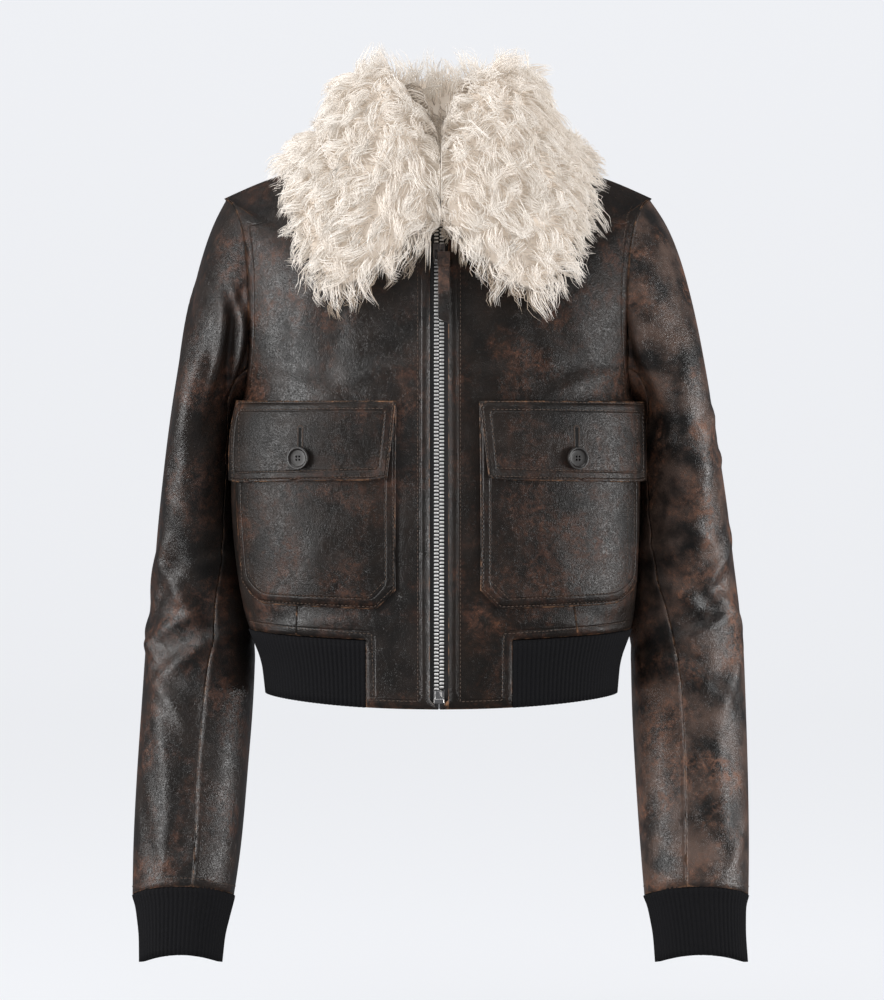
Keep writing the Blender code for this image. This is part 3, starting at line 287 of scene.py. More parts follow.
ARM_FOLDS = {
    # place round (degrees, 0 = front, 90 = outer edge, -90 = towards the body), height, tilt,
    # length, half width, rise
    "right": (
        (-12, -0.158, 94, 0.110, 0.0036, 0.0044),
        (-26, -0.160, 90, 0.105, 0.0026, 0.0050),
        (-19, -0.160, 92, 0.115, 0.0036, -0.0038),
        (2, -0.150, 82, 0.080, 0.0090, -0.0020),
        (22, -0.190, 84, 0.200, 0.0100, 0.0036),
        (66, -0.140, 94, 0.110, 0.0120, -0.0016),
        (-4, -0.250, 97, 0.110, 0.0080, -0.0024),
        (24, -0.310, 92, 0.120, 0.0090, 0.0024),
        (-58, -0.262, -18, 0.060, 0.0070, 0.0030),
        (-16, -0.316, 40, 0.085, 0.0080, 0.0022),
        (46, -0.352, -52, 0.080, 0.0085, 0.0036),
        (-44, -0.345, -8, 0.080, 0.0075, 0.0030),
        (26, -0.372, -58, 0.080, 0.0080, -0.0026),
        (10, -0.380, 62, 0.085, 0.0080, 0.0036),
        (-60, -0.384, 10, 0.070, 0.0070, 0.0030),
        (34, -0.410, -30, 0.075, 0.0070, 0.0034),
        (-20, -0.418, 14, 0.070, 0.0070, 0.0026),
        (58, -0.420, 44, 0.070, 0.0080, 0.0030),
        (8, -0.432, -38, 0.080, 0.0075, 0.0034),
        (-50, -0.462, 16, 0.060, 0.0075, 0.0022),
        (30, -0.462, 48, 0.080, 0.0080, 0.0030),
        (-8, -0.500, 78, 0.100, 0.0090, -0.0018),
        (18, -0.545, 84, 0.160, 0.0100, 0.0030),
        (44, -0.580, 70, 0.090, 0.0090, -0.0018),
        (-30, -0.590, 20, 0.060, 0.0080, 0.0018),
        (6, -0.606, -8, 0.070, 0.0060, 0.0018),
        (170, -0.330, 30, 0.080, 0.0100, 0.0026),
        (150, -0.395, 80, 0.110, 0.0120, 0.0026),
        (-160, -0.470, -30, 0.080, 0.0100, 0.0024),
        (175, -0.560, 70, 0.090, 0.0110, 0.0020),
        (140, -0.120, 60, 0.090, 0.0120, 0.0024),
    ),
    "left": (
        (-24, -0.172, 100, 0.090, 0.0060, 0.0048),
        (-33, -0.160, 92, 0.080, 0.0034, -0.0034),
        (-2, -0.150, 96, 0.100, 0.0090, -0.0020),
        (26, -0.170, 96, 0.160, 0.0110, 0.0030),
        (72, -0.170, 86, 0.110, 0.0120, -0.0014),
        (-14, -0.246, -20, 0.070, 0.0080, 0.0026),
        (-56, -0.270, 16, 0.060, 0.0070, 0.0028),
        (32, -0.230, 40, 0.060, 0.0070, 0.0026),
        (40, -0.262, 24, 0.060, 0.0060, 0.0026),
        (8, -0.290, 80, 0.120, 0.0090, 0.0024),
        (-10, -0.318, -30, 0.080, 0.0080, 0.0026),
        (-48, -0.336, 12, 0.075, 0.0070, 0.0030),
        (34, -0.346, 52, 0.080, 0.0080, 0.0034),
        (-22, -0.372, -34, 0.090, 0.0080, 0.0030),
        (14, -0.384, 56, 0.080, 0.0075, -0.0024),
        (46, -0.392, -36, 0.070, 0.0075, 0.0030),
        (-58, -0.396, 8, 0.060, 0.0070, 0.0030),
        (4, -0.412, 34, 0.085, 0.0075, 0.0034),
        (-36, -0.436, -10, 0.075, 0.0075, 0.0026),
        (46, -0.446, 60, 0.080, 0.0085, 0.0026),
        (16, -0.458, -42, 0.070, 0.0080, 0.0030),
        (-12, -0.490, 84, 0.100, 0.0090, -0.0018),
        (22, -0.540, 96, 0.160, 0.0100, 0.0030),
        (-26, -0.570, 30, 0.070, 0.0080, 0.0020),
        (46, -0.592, 60, 0.070, 0.0085, 0.0018),
        (10, -0.606, -10, 0.060, 0.0060, 0.0018),
        (165, -0.345, -28, 0.080, 0.0100, 0.0026),
        (148, -0.410, 98, 0.110, 0.0120, 0.0026),
        (-165, -0.480, 32, 0.080, 0.0100, 0.0024),
        (178, -0.555, 108, 0.090, 0.0110, 0.0020),
        (138, -0.125, 118, 0.090, 0.0120, 0.0024),
    ),
}
ZIP_X = 0.001               # the zip's line lies a little to the wearer's left
SEAM_FADE = 0.014           # metres over which a fold of the body dies out towards a seam
ARM_FADE = 0.0035           # and a fold of a sleeve
ZIP_FADE = (0.008, 0.030)   # metres from the zip where a fold starts and is whole
CUFF_FADE = (-0.636, -0.612)    # heights over which a sleeve's folds die out towards the cuff
BODY_RADIUS = 0.150         # metres: turns a place round the body into a length
ARM_RADIUS = 0.048          # and one round an arm


class FoldField:
    """Moves points in or out from a piece's long axis, where the folds of a table lie."""

    def __init__(self, folds, radius, side, axis_heights, axis_points, fade):
        self.folds, self.radius, self.side = folds, radius, side
        self.axis_heights, self.axis_points = axis_heights, axis_points
        self.fade = fade

    def outward(self, points):
        """The level way from the axis through each point."""
        x = np.interp(points[:, 2], self.axis_heights, self.axis_points[:, 0])
        y = np.interp(points[:, 2], self.axis_heights, self.axis_points[:, 1])
        away = np.stack([points[:, 0] - x, points[:, 1] - y, np.zeros(len(points))], axis=1)
        return unit_rows(away)

    def rise(self, points):
        """How far all the folds together lift each point: ridges with a shallow trough on one side."""
        away = self.outward(points)
        around = np.degrees(np.arctan2(self.side * away[:, 0], -away[:, 1]))
        total = np.zeros(len(points))
        for place, height, tilt, length, half, rise in self.folds:
            turn = math.radians(tilt)
            off = (around - place + 180) % 360 - 180
            across = np.radians(off) * self.radius
            up = points[:, 2] - height
            along = across * math.cos(turn) + up * math.sin(turn)
            bow = 2.2 * along ** 2 * (1 if rise > 0 else -1)
            side = -across * math.sin(turn) + up * math.cos(turn) + bow
            share = np.clip(1 - (2 * along / length) ** 2, 0, 1)
            width = half * (0.55 + 0.45 * share)
            shape = np.exp(-(side / width) ** 2) - 0.35 * np.exp(-((side - 1.7 * width) / width) ** 2)
            total += rise * shape * share
        return total

    def shape(self, piece):
        points = points_of(piece)
        amount = self.rise(points) * self.fade(points)
        move_points(piece, points + self.outward(points) * amount[:, None])


def arm_axis(hand):
    """Heights and middles of an arm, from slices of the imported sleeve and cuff."""
    names = ["sleeve_top_" + hand, "sleeve_under_" + hand, "cuff_" + hand]
    points = np.concatenate([points_of(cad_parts[n]) for n in names])
    heights = np.linspace(-0.69, -0.21, 25)
    middles = []
    for z in heights:
        ring = points[np.abs(points[:, 2] - z) < 0.022]
        middles.append((ring[:, :2].min(0) + ring[:, :2].max(0)) / 2)
    return heights, np.array(middles)


def armhole_tree():
    """The points where a sleeve's wall meets the body's walls."""
    body = np.concatenate([points_of(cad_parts[n]) for n in ("front_left", "front_right", "back")])
    near = KDTree(len(body))
    for index, point in enumerate(body):
        near.insert(point, index)
    near.balance()
    ring = []
    for hand in ("left", "right"):
        for part in ("sleeve_top_", "sleeve_under_"):
            ring += [p for p in points_of(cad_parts[part + hand]) if near.find(p)[2] < 0.0008]
    tree = KDTree(len(ring))
    for index, point in enumerate(ring):
        tree.insert(point, index)
    tree.balance()
    return tree


armholes = armhole_tree()


def from_armhole(points):
    return np.array([armholes.find(p)[2] for p in points])


def body_fade(points):
    """Folds of the body die out at the armholes and along the zip."""
    from_zip = np.abs(points[:, 0] - ZIP_X)
    return smooth_step(from_armhole(points), 0, SEAM_FADE) * smooth_step(from_zip, *ZIP_FADE)


def arm_fade(points):
    """Folds of a sleeve die out at the armhole and at the cuff."""
    return smooth_step(from_armhole(points), 0, ARM_FADE) * smooth_step(points[:, 2], *CUFF_FADE)


body_folds = FoldField(BODY_FOLDS, BODY_RADIUS, 1, np.array([-1.0, 1.0]), np.zeros((2, 2)), body_fade)
arm_folds = {
    hand: FoldField(ARM_FOLDS[hand], ARM_RADIUS, side, *arm_axis(hand), arm_fade)
    for hand, side in (("left", 1), ("right", -1))
}
print("folds:", len(BODY_FOLDS), "on the body,", sum(map(len, ARM_FOLDS.values())), "on the arms")

# %% [markdown]
# ## Leather grain, rubbed edges and colour
# Tumbled leather has three sizes of relief: a net of fine pebbles about a millimetre across, soft
# wrinkles between them, and the big folds, which are in the mesh. The first two are one shader
# group, which puts out a height. A second group gives the colour: nearly black, with red-brown
# clouds where the dye is thin, and tan where a ridge, an edge or a seam is rubbed.

# %% Leather groups


def group(name, inputs, outputs):
    """An empty shader group with named number or colour sockets."""
    made = bpy.data.node_groups.new(name, "ShaderNodeTree")
    for label, kind, value in inputs:
        socket = made.interface.new_socket(name=label, in_out="INPUT", socket_type=kind)
        if value is not None:
            socket.default_value = value
    for label, kind in outputs:
        made.interface.new_socket(name=label, in_out="OUTPUT", socket_type=kind)
    made.nodes.new("NodeGroupInput").name = "in"
    made.nodes.new("NodeGroupOutput").name = "out"
    return made


def node(tree, kind, values=None, **settings):
    made = tree.nodes.new(kind)
    for key, value in settings.items():
        setattr(made, key, value)
    for key, value in (values or {}).items():
        made.inputs[key].default_value = value
    return made


def join(tree, *pairs):
    for out_socket, in_socket in pairs:
        tree.links.new(out_socket, in_socket)


def maths(tree, operation, first, second=None, clamp=False):
    """A Math node. Each of its two values is a socket or a number."""
    made = node(tree, "ShaderNodeMath", operation=operation, use_clamp=clamp)
    for index, value in enumerate((first, second)):
        if value is None:
            continue
        if isinstance(value, (int, float)):
            made.inputs[index].default_value = value
        else:
            join(tree, (value, made.inputs[index]))
    return made.outputs[0]


def remap(tree, value, low, high, to_low=0.0, to_high=1.0):
    """Stretch the span from low to high to a new one, with soft ends."""
    made = node(tree, "ShaderNodeMapRange", {1: low, 2: high, 3: to_low, 4: to_high},
                interpolation_type="SMOOTHSTEP")
    join(tree, (value, made.inputs[0]))
    return made.outputs[0]


def blended(tree, share, first, second):
    """Mix two colours. Each is a socket or a colour."""
    made = node(tree, "ShaderNodeMix", data_type="RGBA")
    join(tree, (share, made.inputs["Factor"]))
    for name, value in (("A", first), ("B", second)):
        socket = [s for s in made.inputs if s.name == name and s.type == "RGBA"][0]
        if isinstance(value, tuple):
            socket.default_value = (*value, 1)
        else:
            join(tree, (value, socket))
    return [s for s in made.outputs if s.type == "RGBA"][0]


def noise(tree, place, scale, detail=3.0, rough=0.55, distortion=0.0):
    made = node(tree, "ShaderNodeTexNoise", {"Scale": scale, "Detail": detail, "Roughness": rough,
                                             "Distortion": distortion})
    join(tree, (place, made.inputs["Vector"]))
    return made.outputs["Fac"]


def leather_relief():
    """Height of the leather's pebbles and small wrinkles, in millimetres."""
    tree = group("leather_relief",
                 [("Place", "NodeSocketVector", None), ("Pebble", "NodeSocketFloat", 1.0),
                  ("Wrinkle", "NodeSocketFloat", 1.0)],
                 [("Height", "NodeSocketFloat"), ("Rub", "NodeSocketFloat")])
    start, end = tree.nodes["in"], tree.nodes["out"]
    place = start.outputs["Place"]
    bent = node(tree, "ShaderNodeTexNoise", {"Scale": 90.0, "Detail": 2.0})
    shift = node(tree, "ShaderNodeVectorMath", {"Scale": 0.006}, operation="SCALE")
    warped = node(tree, "ShaderNodeVectorMath", operation="ADD")
    join(tree, (place, bent.inputs["Vector"]), (bent.outputs["Color"], shift.inputs[0]),
         (place, warped.inputs[0]), (shift.outputs[0], warped.inputs[1]))
    pebbles = node(tree, "ShaderNodeTexVoronoi", {"Scale": 820.0}, feature="DISTANCE_TO_EDGE")
    net = node(tree, "ShaderNodeTexVoronoi", {"Scale": 170.0}, feature="DISTANCE_TO_EDGE")
    join(tree, (warped.outputs[0], pebbles.inputs["Vector"]), (warped.outputs[0], net.inputs["Vector"]))
    pebble = remap(tree, pebbles.outputs["Distance"], 0.0, 0.40)
    crease = remap(tree, net.outputs["Distance"], 0.0, 0.22)
    soft = noise(tree, place, 60.0, 5.0, 0.62, 0.5)
    grain = maths(tree, "MULTIPLY", pebble, maths(tree, "MULTIPLY", start.outputs["Pebble"], 0.140))
    folds = maths(tree, "MULTIPLY", crease, maths(tree, "MULTIPLY", start.outputs["Wrinkle"], 0.050))
    swell = maths(tree, "MULTIPLY", soft, maths(tree, "MULTIPLY", start.outputs["Wrinkle"], 0.55))
    height = maths(tree, "ADD", grain, maths(tree, "ADD", folds, swell))
    rub = maths(tree, "MULTIPLY", pebble, remap(tree, soft, 0.40, 0.60))
    join(tree, (height, end.inputs["Height"]), (rub, end.inputs["Rub"]))
    return tree


def leather_colour():
    """The dye, its red-brown clouds, and the tan of rubbed ridges and edges."""
    tree = group("leather_colour",
                 [("Place", "NodeSocketVector", None), ("Edge", "NodeSocketFloat", 0.0),
                  ("Rub", "NodeSocketFloat", 0.0), ("Clouds", "NodeSocketFloat", 1.0),
                  ("Dye and painted tone", "NodeSocketColor", (0.0170, 0.0122, 0.0098, 1)),
                  ("Brown", "NodeSocketColor", (0.0680, 0.0280, 0.0160, 1))],
                 [("Color", "NodeSocketColor"), ("Worn", "NodeSocketFloat")])
    start, end = tree.nodes["in"], tree.nodes["out"]
    place = start.outputs["Place"]
    cloud = remap(tree, noise(tree, place, 17.0, 6.0, 0.66, 0.5), 0.44, 0.70)
    spots = remap(tree, noise(tree, place, 130.0, 7.0, 0.78, 0.3), 0.40, 0.66)
    cloudy = maths(tree, "MULTIPLY", maths(tree, "MULTIPLY", cloud, spots), start.outputs["Clouds"], True)
    flecks = remap(tree, noise(tree, place, 520.0, 4.0, 0.8), 0.44, 0.62)
    tan = maths(tree, "MULTIPLY", maths(tree, "MULTIPLY", cloudy, flecks), start.outputs["Rub"], True)
    broken = remap(tree, noise(tree, place, 95.0, 6.0, 0.75), 0.46, 0.66)
    edge = maths(tree, "MULTIPLY", start.outputs["Edge"], broken, True)
    dark = blended(tree, remap(tree, noise(tree, place, 30.0, 4.0, 0.6), 0.35, 0.7),
                   (0.0080, 0.0068, 0.0060), start.outputs["Dye and painted tone"])
    brown = blended(tree, cloudy, dark, start.outputs["Brown"])
    tanned = blended(tree, tan, brown, (0.1900, 0.0780, 0.0330))
    finished = blended(tree, edge, tanned, (0.1700, 0.0850, 0.0430))
    worn = maths(tree, "MAXIMUM", cloudy, edge)
    join(tree, (finished, end.inputs["Color"]), (worn, end.inputs["Worn"]))
    return tree


relief_group = leather_relief()
colour_group = leather_colour()
print("leather groups:", relief_group.name, colour_group.name)

# %% [markdown]
# ## The leather itself
# A thin waxy finish lies on the leather, so it has a soft shine that breaks up on the grain, and is
# duller where it is worn. Each point knows how far it is from its piece's edge. The material reads
# that for the rubbed line along the edge, and for the groove that a row of stitches pulls in. The
# wearer's left front is more matt than the right one, and its dye is painted darker, which is
# painted shade against the strong light of the right panel there. The left sleeve is browner and
# more worn, and it is also painted lighter, which is painted light for lamp light that doesn't reach it.

# %% Leather material


def place_of(tree):
    return node(tree, "ShaderNodeTexCoord").outputs["Object"]


def attribute(tree, name):
    return node(tree, "ShaderNodeAttribute", attribute_name=name).outputs["Fac"]


def plain_shader(name, colour, rough, metal=0.0):
    """A new material and its shader, with the constants set on the shader itself."""
    made = bpy.data.materials.new(name)
    made.use_nodes = True
    shader = made.node_tree.nodes["Principled BSDF"]
    shader.inputs["Base Color"].default_value = (*colour, 1)
    shader.inputs["Roughness"].default_value = rough
    shader.inputs["Metallic"].default_value = metal
    return made, made.node_tree, shader


def groove(tree, distance, at, half):
    """1 on a line this far from the edge, and 0 beside it."""
    off = maths(tree, "ABSOLUTE", maths(tree, "SUBTRACT", distance, at))
    return remap(tree, off, half, 0.0)


def leather(name, wear=1.0, clouds=1.0, grooves=(), wrinkle=1.0, edge_width=0.0011, gloss=0.40,
            dye_and_painted_tone=None, brown=None):
    """A leather finish. The grooves are the distances from the edge of its rows of stitches."""
    made, tree, shader = plain_shader(name, (0.01, 0.01, 0.01), 0.4)
    shader.inputs["Specular IOR Level"].default_value = gloss
    place = place_of(tree)
    distance = attribute(tree, "from_edge")
    relief = node(tree, "ShaderNodeGroup", node_tree=relief_group)
    relief.inputs["Wrinkle"].default_value = wrinkle
    edge = maths(tree, "MULTIPLY", remap(tree, distance, edge_width, 0.0), wear, True)
    colour = node(tree, "ShaderNodeGroup", node_tree=colour_group)
    colour.inputs["Clouds"].default_value = clouds
    for label, tint in (("Dye and painted tone", dye_and_painted_tone), ("Brown", brown)):
        if tint:
            colour.inputs[label].default_value = (*tint, 1)
    join(tree, (place, relief.inputs["Place"]), (place, colour.inputs["Place"]),
         (edge, colour.inputs["Edge"]), (relief.outputs["Rub"], colour.inputs["Rub"]),
         (colour.outputs["Color"], shader.inputs["Base Color"]))
    polish = remap(tree, noise(tree, place, 45.0, 4.0, 0.6), 0.3, 0.7, 0.27, 0.41)
    rough = maths(tree, "ADD", maths(tree, "MULTIPLY", colour.outputs["Worn"], 0.22), polish)
    join(tree, (rough, shader.inputs["Roughness"]))
    height = relief.outputs["Height"]
    sewn = attribute(tree, "sewn")
    for at in grooves:
        pulled = maths(tree, "MULTIPLY", groove(tree, distance, at, GROOVE_HALF), sewn)
        height = maths(tree, "SUBTRACT", height, maths(tree, "MULTIPLY", pulled, GROOVE_DEPTH))
    bump = node(tree, "ShaderNodeBump", {"Strength": 1.0, "Distance": 0.001})
    join(tree, (height, bump.inputs["Height"]), (bump.outputs["Normal"], shader.inputs["Normal"]))
    return made


GROOVE_HALF = 0.0014        # metres from a groove's middle to its rim
GROOVE_DEPTH = 0.50         # millimetres, as all heights in the leather's relief
EDGE_ROW = 0.0075           # metres from a panel's edge to its row of stitches
STITCH_NEAR = 0.0020        # from a pocket's edge to its first row
STITCH_FAR = 0.0085         # and to its second

leather_panel = leather("leather_panel", grooves=(EDGE_ROW,))
leather_front = {
    "right": leather_panel,
    # painted shade: the left front's dye is painted darker against the right panel's strong light there
    "left": leather("leather_front_left", grooves=(EDGE_ROW,), gloss=0.20, dye_and_painted_tone=(0.0136, 0.0098, 0.0078)),
}
leather_sleeve = {
    "right": leather("leather_sleeve_right", clouds=1.1),
    # The left sleeve is browner, and its dye and brown are also painted lighter, as painted light for the
    # lamp light that doesn't reach it.
    "left": leather("leather_sleeve_left", clouds=1.5, dye_and_painted_tone=(0.072, 0.046, 0.035),
                    brown=(0.130, 0.058, 0.033)),
}
leather_patch = leather("leather_patch", wear=1.4, clouds=0.8, grooves=(STITCH_NEAR, STITCH_FAR),
                        wrinkle=0.8, edge_width=0.0016, gloss=0.24)
print("leather finishes:", sorted(m.name for m in bpy.data.materials if m.name.startswith("leather")))

# %% [markdown]
# ## The leather shells
# Each leather piece is a copy of its packed wall with its facets rounded off and its rim kept
# crisp, so neighbours still meet in the same seam. The folds are then pressed into it. The flap's
# loose end hangs at a slant, and the sleeves lie against the body's sides.

# %% Leather shells
FLAP_SLANT = 0.0070         # metres that the flap's lower inner corner is drawn in
HEM_GAP = 0.0004            # and that are left between each tongue and the zip's line at the hem


def rim_distance(piece):
    """How far each point is from the nearest creased edge of its wall."""
    crease = piece.data.attributes["crease_edge"]
    values = np.empty(len(piece.data.edges), np.float32)
    crease.data.foreach_get("value", values)
    ends = np.empty(len(piece.data.edges) * 2, np.int32)
    piece.data.edges.foreach_get("vertices", ends)
    ends = ends.reshape(-1, 2)[values > 0.5]
    points = points_of(piece)
    steps = np.linspace(0, 1, 6)[:-1]
    samples = np.concatenate([points[ends[:, 0]] * (1 - t) + points[ends[:, 1]] * t for t in steps])
    tree = KDTree(len(samples))
    for index, sample in enumerate(samples):
        tree.insert(sample, index)
    tree.balance()
    return np.array([tree.find(p)[2] for p in points])


def leather_shell(name, material, folds, levels=2, sharp=RIM_ANGLE):
    """A packed leather piece made fine, with its distances stored and its folds pressed in."""
    piece = merged_copy(name, "leather_" + name, sharp)
    finer(piece, levels)
    away = rim_distance(piece)
    keep_value(piece, "from_edge", away)
    keep_value(piece, "sewn", 1 - smooth_step(points_of(piece)[:, 2], -0.056, -0.040))
    folds.shape(piece)
    return dress(piece, material, node_name=name)


def slant_flap(piece):
    """Draw the flap's inner edge in towards its foot."""
    points = points_of(piece)
    side = np.sign(points[:, 0].mean())
    reach = np.abs(points[:, 0])
    along = 1 - smooth_step(reach, reach.min(), reach.min() + 0.060)
    down = np.clip((points[:, 2].max() - points[:, 2]) / np.ptp(points[:, 2]), 0, 1)
    points[:, 0] += side * FLAP_SLANT * along * down
    move_points(piece, points)


def close_at_hem(piece):
    """The two fronts come together below the zip's end box, at the hem."""
    points = points_of(piece)
    off = points[:, 0] - ZIP_X
    near = 1 - smooth_step(np.abs(off), 0.008, 0.030)
    low = smooth_step(-points[:, 2], 0.4660, 0.4705)
    points[:, 0] -= np.sign(off) * (np.abs(off).min() - HEM_GAP) * near * low
    move_points(piece, points)


panels = {}
for hand in ("left", "right"):
    panels["front_" + hand] = leather_shell("front_" + hand, leather_front[hand], body_folds)
    close_at_hem(panels["front_" + hand])
    for part, levels in (("sleeve_top_", 3), ("sleeve_under_", 2)):
        panels[part + hand] = leather_shell(part + hand, leather_sleeve[hand], arm_folds[hand], levels)
    for part in ("pocket_", "flap_"):
        panels[part + hand] = leather_shell(part + hand, leather_patch, body_folds, sharp=PATCH_ANGLE)
    slant_flap(panels["flap_" + hand])
panels["back"] = leather_shell("back", leather_panel, body_folds)
print({name: len(piece.data.polygons) for name, piece in panels.items()})

# %% [markdown]
# ## Sleeves against the body
# An empty sleeve hangs against the side of the jacket. Rays from its inner side tell how wide the
# gap is at each height, and that side is drawn in by as much, so that no light shows between them.

# %% Sleeves against the body
GAP_MOST = 0.012            # metres: a gap wider than this stays open


def tree_of(pieces):
    """One search tree over several pieces' faces."""
    points, faces = [], []
    for piece in pieces:
        start = len(points)
        points += [v.co.copy() for v in piece.data.vertices]
        faces += [[start + i for i in face.vertices] for face in piece.data.polygons]
    return BVHTree.FromPolygons(points, faces)


def lean_on_body(sleeves, axis, side, body):
    """Draw the inner side of a sleeve in, slice by slice, until it touches the body's side."""
    heights = np.linspace(-0.44, -0.205, 32)
    gaps = np.full(len(heights), 0.02)      # more than any gap that is closed
    for piece in sleeves:
        for point in points_of(piece)[::3]:
            if not -0.45 < point[2] < -0.20:
                continue
            hit = body.ray_cast(Vector(point), Vector((-side, 0, 0)), 0.015)[0]
            if hit is not None:
                k = int(round(float(np.interp(point[2], heights, np.arange(len(heights))))))
                gaps[k] = min(gaps[k], abs(hit.x - point[0]))
    gaps[gaps > GAP_MOST] = 0.0
    gaps = np.convolve(np.pad(gaps, 1, mode="edge"), (0.25, 0.5, 0.25), "valid") + 0.0003
    for piece in sleeves:
        points = points_of(piece)
        away = axis.outward(points)
        inner = smooth_step(-side * away[:, 0], 0.15, 0.85)
        amount = np.interp(points[:, 2], heights, gaps, left=0.0, right=0.0)
        amount *= smooth_step(points[:, 2], -0.46, -0.42) * smooth_step(-points[:, 2], 0.200, 0.215)
        points[:, 0] -= side * amount * inner
        move_points(piece, points)
    return gaps.max()


body_names = ("front_left", "front_right", "back", "pocket_left", "pocket_right")
body_tree = tree_of([panels[name] for name in body_names])
for hand, side in (("left", 1), ("right", -1)):
    pair = [panels["sleeve_top_" + hand], panels["sleeve_under_" + hand]]
    drawn = lean_on_body(pair, arm_folds[hand], side, body_tree)
    print("the", hand, "sleeve is drawn in by up to", round(drawn, 4))

# %% [markdown]
# ## Rib knit
# Cuffs and waistband are a dense double knit with upright ribs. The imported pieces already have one
# rib for each real one, as flat facets. Rounding them off gives the ribs their soft tops. The top
# edge of each cuff is tucked up inside the sleeve, as its seam allowance is.

# %% Rib knit
TUCK_RISE = 0.0030          # metres that a cuff's top edge goes up inside the sleeve
TUCK_IN = 0.0022            # and inwards


def rib_material():
    made, tree, shader = plain_shader("rib_knit", (0.01, 0.01, 0.01), 0.92)
    shader.inputs["Specular IOR Level"].default_value = 0.10
    place = place_of(tree)
    fuzz = noise(tree, place, 1400.0, 3.0, 0.7)
    tone = blended(tree, fuzz, (0.0030, 0.0030, 0.0036), (0.0085, 0.0083, 0.0092))
    join(tree, (tone, shader.inputs["Base Color"]))
    rows = node(tree, "ShaderNodeTexWave",
                {"Scale": 210.0, "Distortion": 1.2, "Detail": 2.0, "Detail Scale": 3.0},
                bands_direction="Z")
    join(tree, (place, rows.inputs["Vector"]))
    height = maths(tree, "ADD", maths(tree, "MULTIPLY", rows.outputs["Fac"], 0.12),
                   maths(tree, "MULTIPLY", fuzz, 0.25))
    bump = node(tree, "ShaderNodeBump", {"Strength": 0.8, "Distance": 0.001})
    join(tree, (height, bump.inputs["Height"]), (bump.outputs["Normal"], shader.inputs["Normal"]))
    return made


def rib_piece(name, material):
    piece = merged_copy(name, "knit_" + name, 75)
    apply_modifier(piece, "SUBSURF", levels=1, render_levels=1, subdivision_type="SIMPLE")
    finer(piece, 1)
    return dress(piece, material, node_name=name)


def tuck_in(piece):
    """The cuff's top edge goes up inside the sleeve, as its seam allowance does."""
    points = points_of(piece)
    middle = (points.min(0) + points.max(0)) / 2
    turns = np.degrees(np.arctan2(points[:, 1] - middle[1], points[:, 0] - middle[0]))
    around = np.arange(-180, 181, 6)
    tops = [points[np.abs((turns - a + 180) % 360 - 180) < 8][:, 2].max() for a in around]
    near = smooth_step(points[:, 2] - np.interp(turns, around, tops), -0.0022, -0.0004)
    away = unit_rows((points - middle) * np.array([1.0, 1.0, 0.0]))
    move_points(piece, points + near[:, None] * (np.array([0.0, 0.0, TUCK_RISE]) - away * TUCK_IN))


rib_knit = rib_material()
ribs = {name: rib_piece(name, rib_knit) for name in ("waistband", "cuff_left", "cuff_right")}
for hand in ("left", "right"):
    tuck_in(ribs["cuff_" + hand])
print({name: len(piece.data.polygons) for name, piece in ribs.items()})

# %% [markdown]
# ## Fur collar
# The collar is curly lamb fur: the wool stands off the skin in wavy locks that cling together in
# pointed clumps. Each lock is painted darker towards its root than at its tip, which is painted
# shade down among the locks. The skin is a copy of the packed collar, drawn in by the depth of the
# wool. Each lock is a tapered, three-sided strand that curls, and the locks of a clump lean towards
# one tip. A few clumps are longer and stand out as wisps.
# Hair particles would be quicker to set up, but a mesh of locks is kept by every export.

# %% Fur sizes
PILE_DEPTH = 0.0060         # metres that the skin is drawn in
LOCKS = 21000
CLUMP_SIZE = 0.0125         # metres across a clump's foot
LOCK_LENGTH = (0.019, 0.033)
LOCK_RADIUS = (0.00030, 0.00064)
LOCK_STEPS = 5
NECK = np.array([0.0, -0.012, 0.0])   # a point on the neck's middle line
CREST_GAIN = 0.55           # the wool behind the neck is this much longer
FRONT_SHARE = 1.5           # the leaves in front carry this much more wool than the rest
rng = np.random.default_rng(7)
print("locks of wool:", LOCKS)

# %% [markdown]
# ## The skin under the wool
# The skin is drawn in where the wool has room to stand, and stays where the collar lies on the
# leather. A point is on the open side if no leather is close in front of it.

# %% Fur skin


def fur_skin():
    """The skin that the wool grows on, and for each point whether it is clear of the leather."""
    piece = merged_copy("collar", "fur_skin", 80)
    finer(piece, 1)
    points, normals = points_of(piece), normals_of(piece)
    open_side = np.ones(len(points))
    for index, (point, normal) in enumerate(zip(points, normals)):
        if body_tree.ray_cast(Vector(point), Vector(normal), 0.005)[0] is not None:
            open_side[index] = 0.0
    move_points(piece, points - normals * PILE_DEPTH * open_side[:, None])
    return piece, open_side


skin, skin_open = fur_skin()
print("fur skin faces:", len(skin.data.polygons))

# %% [markdown]
# ## Roots and clumps
# Roots are spread evenly over the open side, more of them on the leaves in front, where the wool
# is thickest. Wool that grows close together clings together, so space is cut into small cells,
# one root in each is the middle of a clump, and every lock joins the nearest clump.

# %% Fur roots and clumps


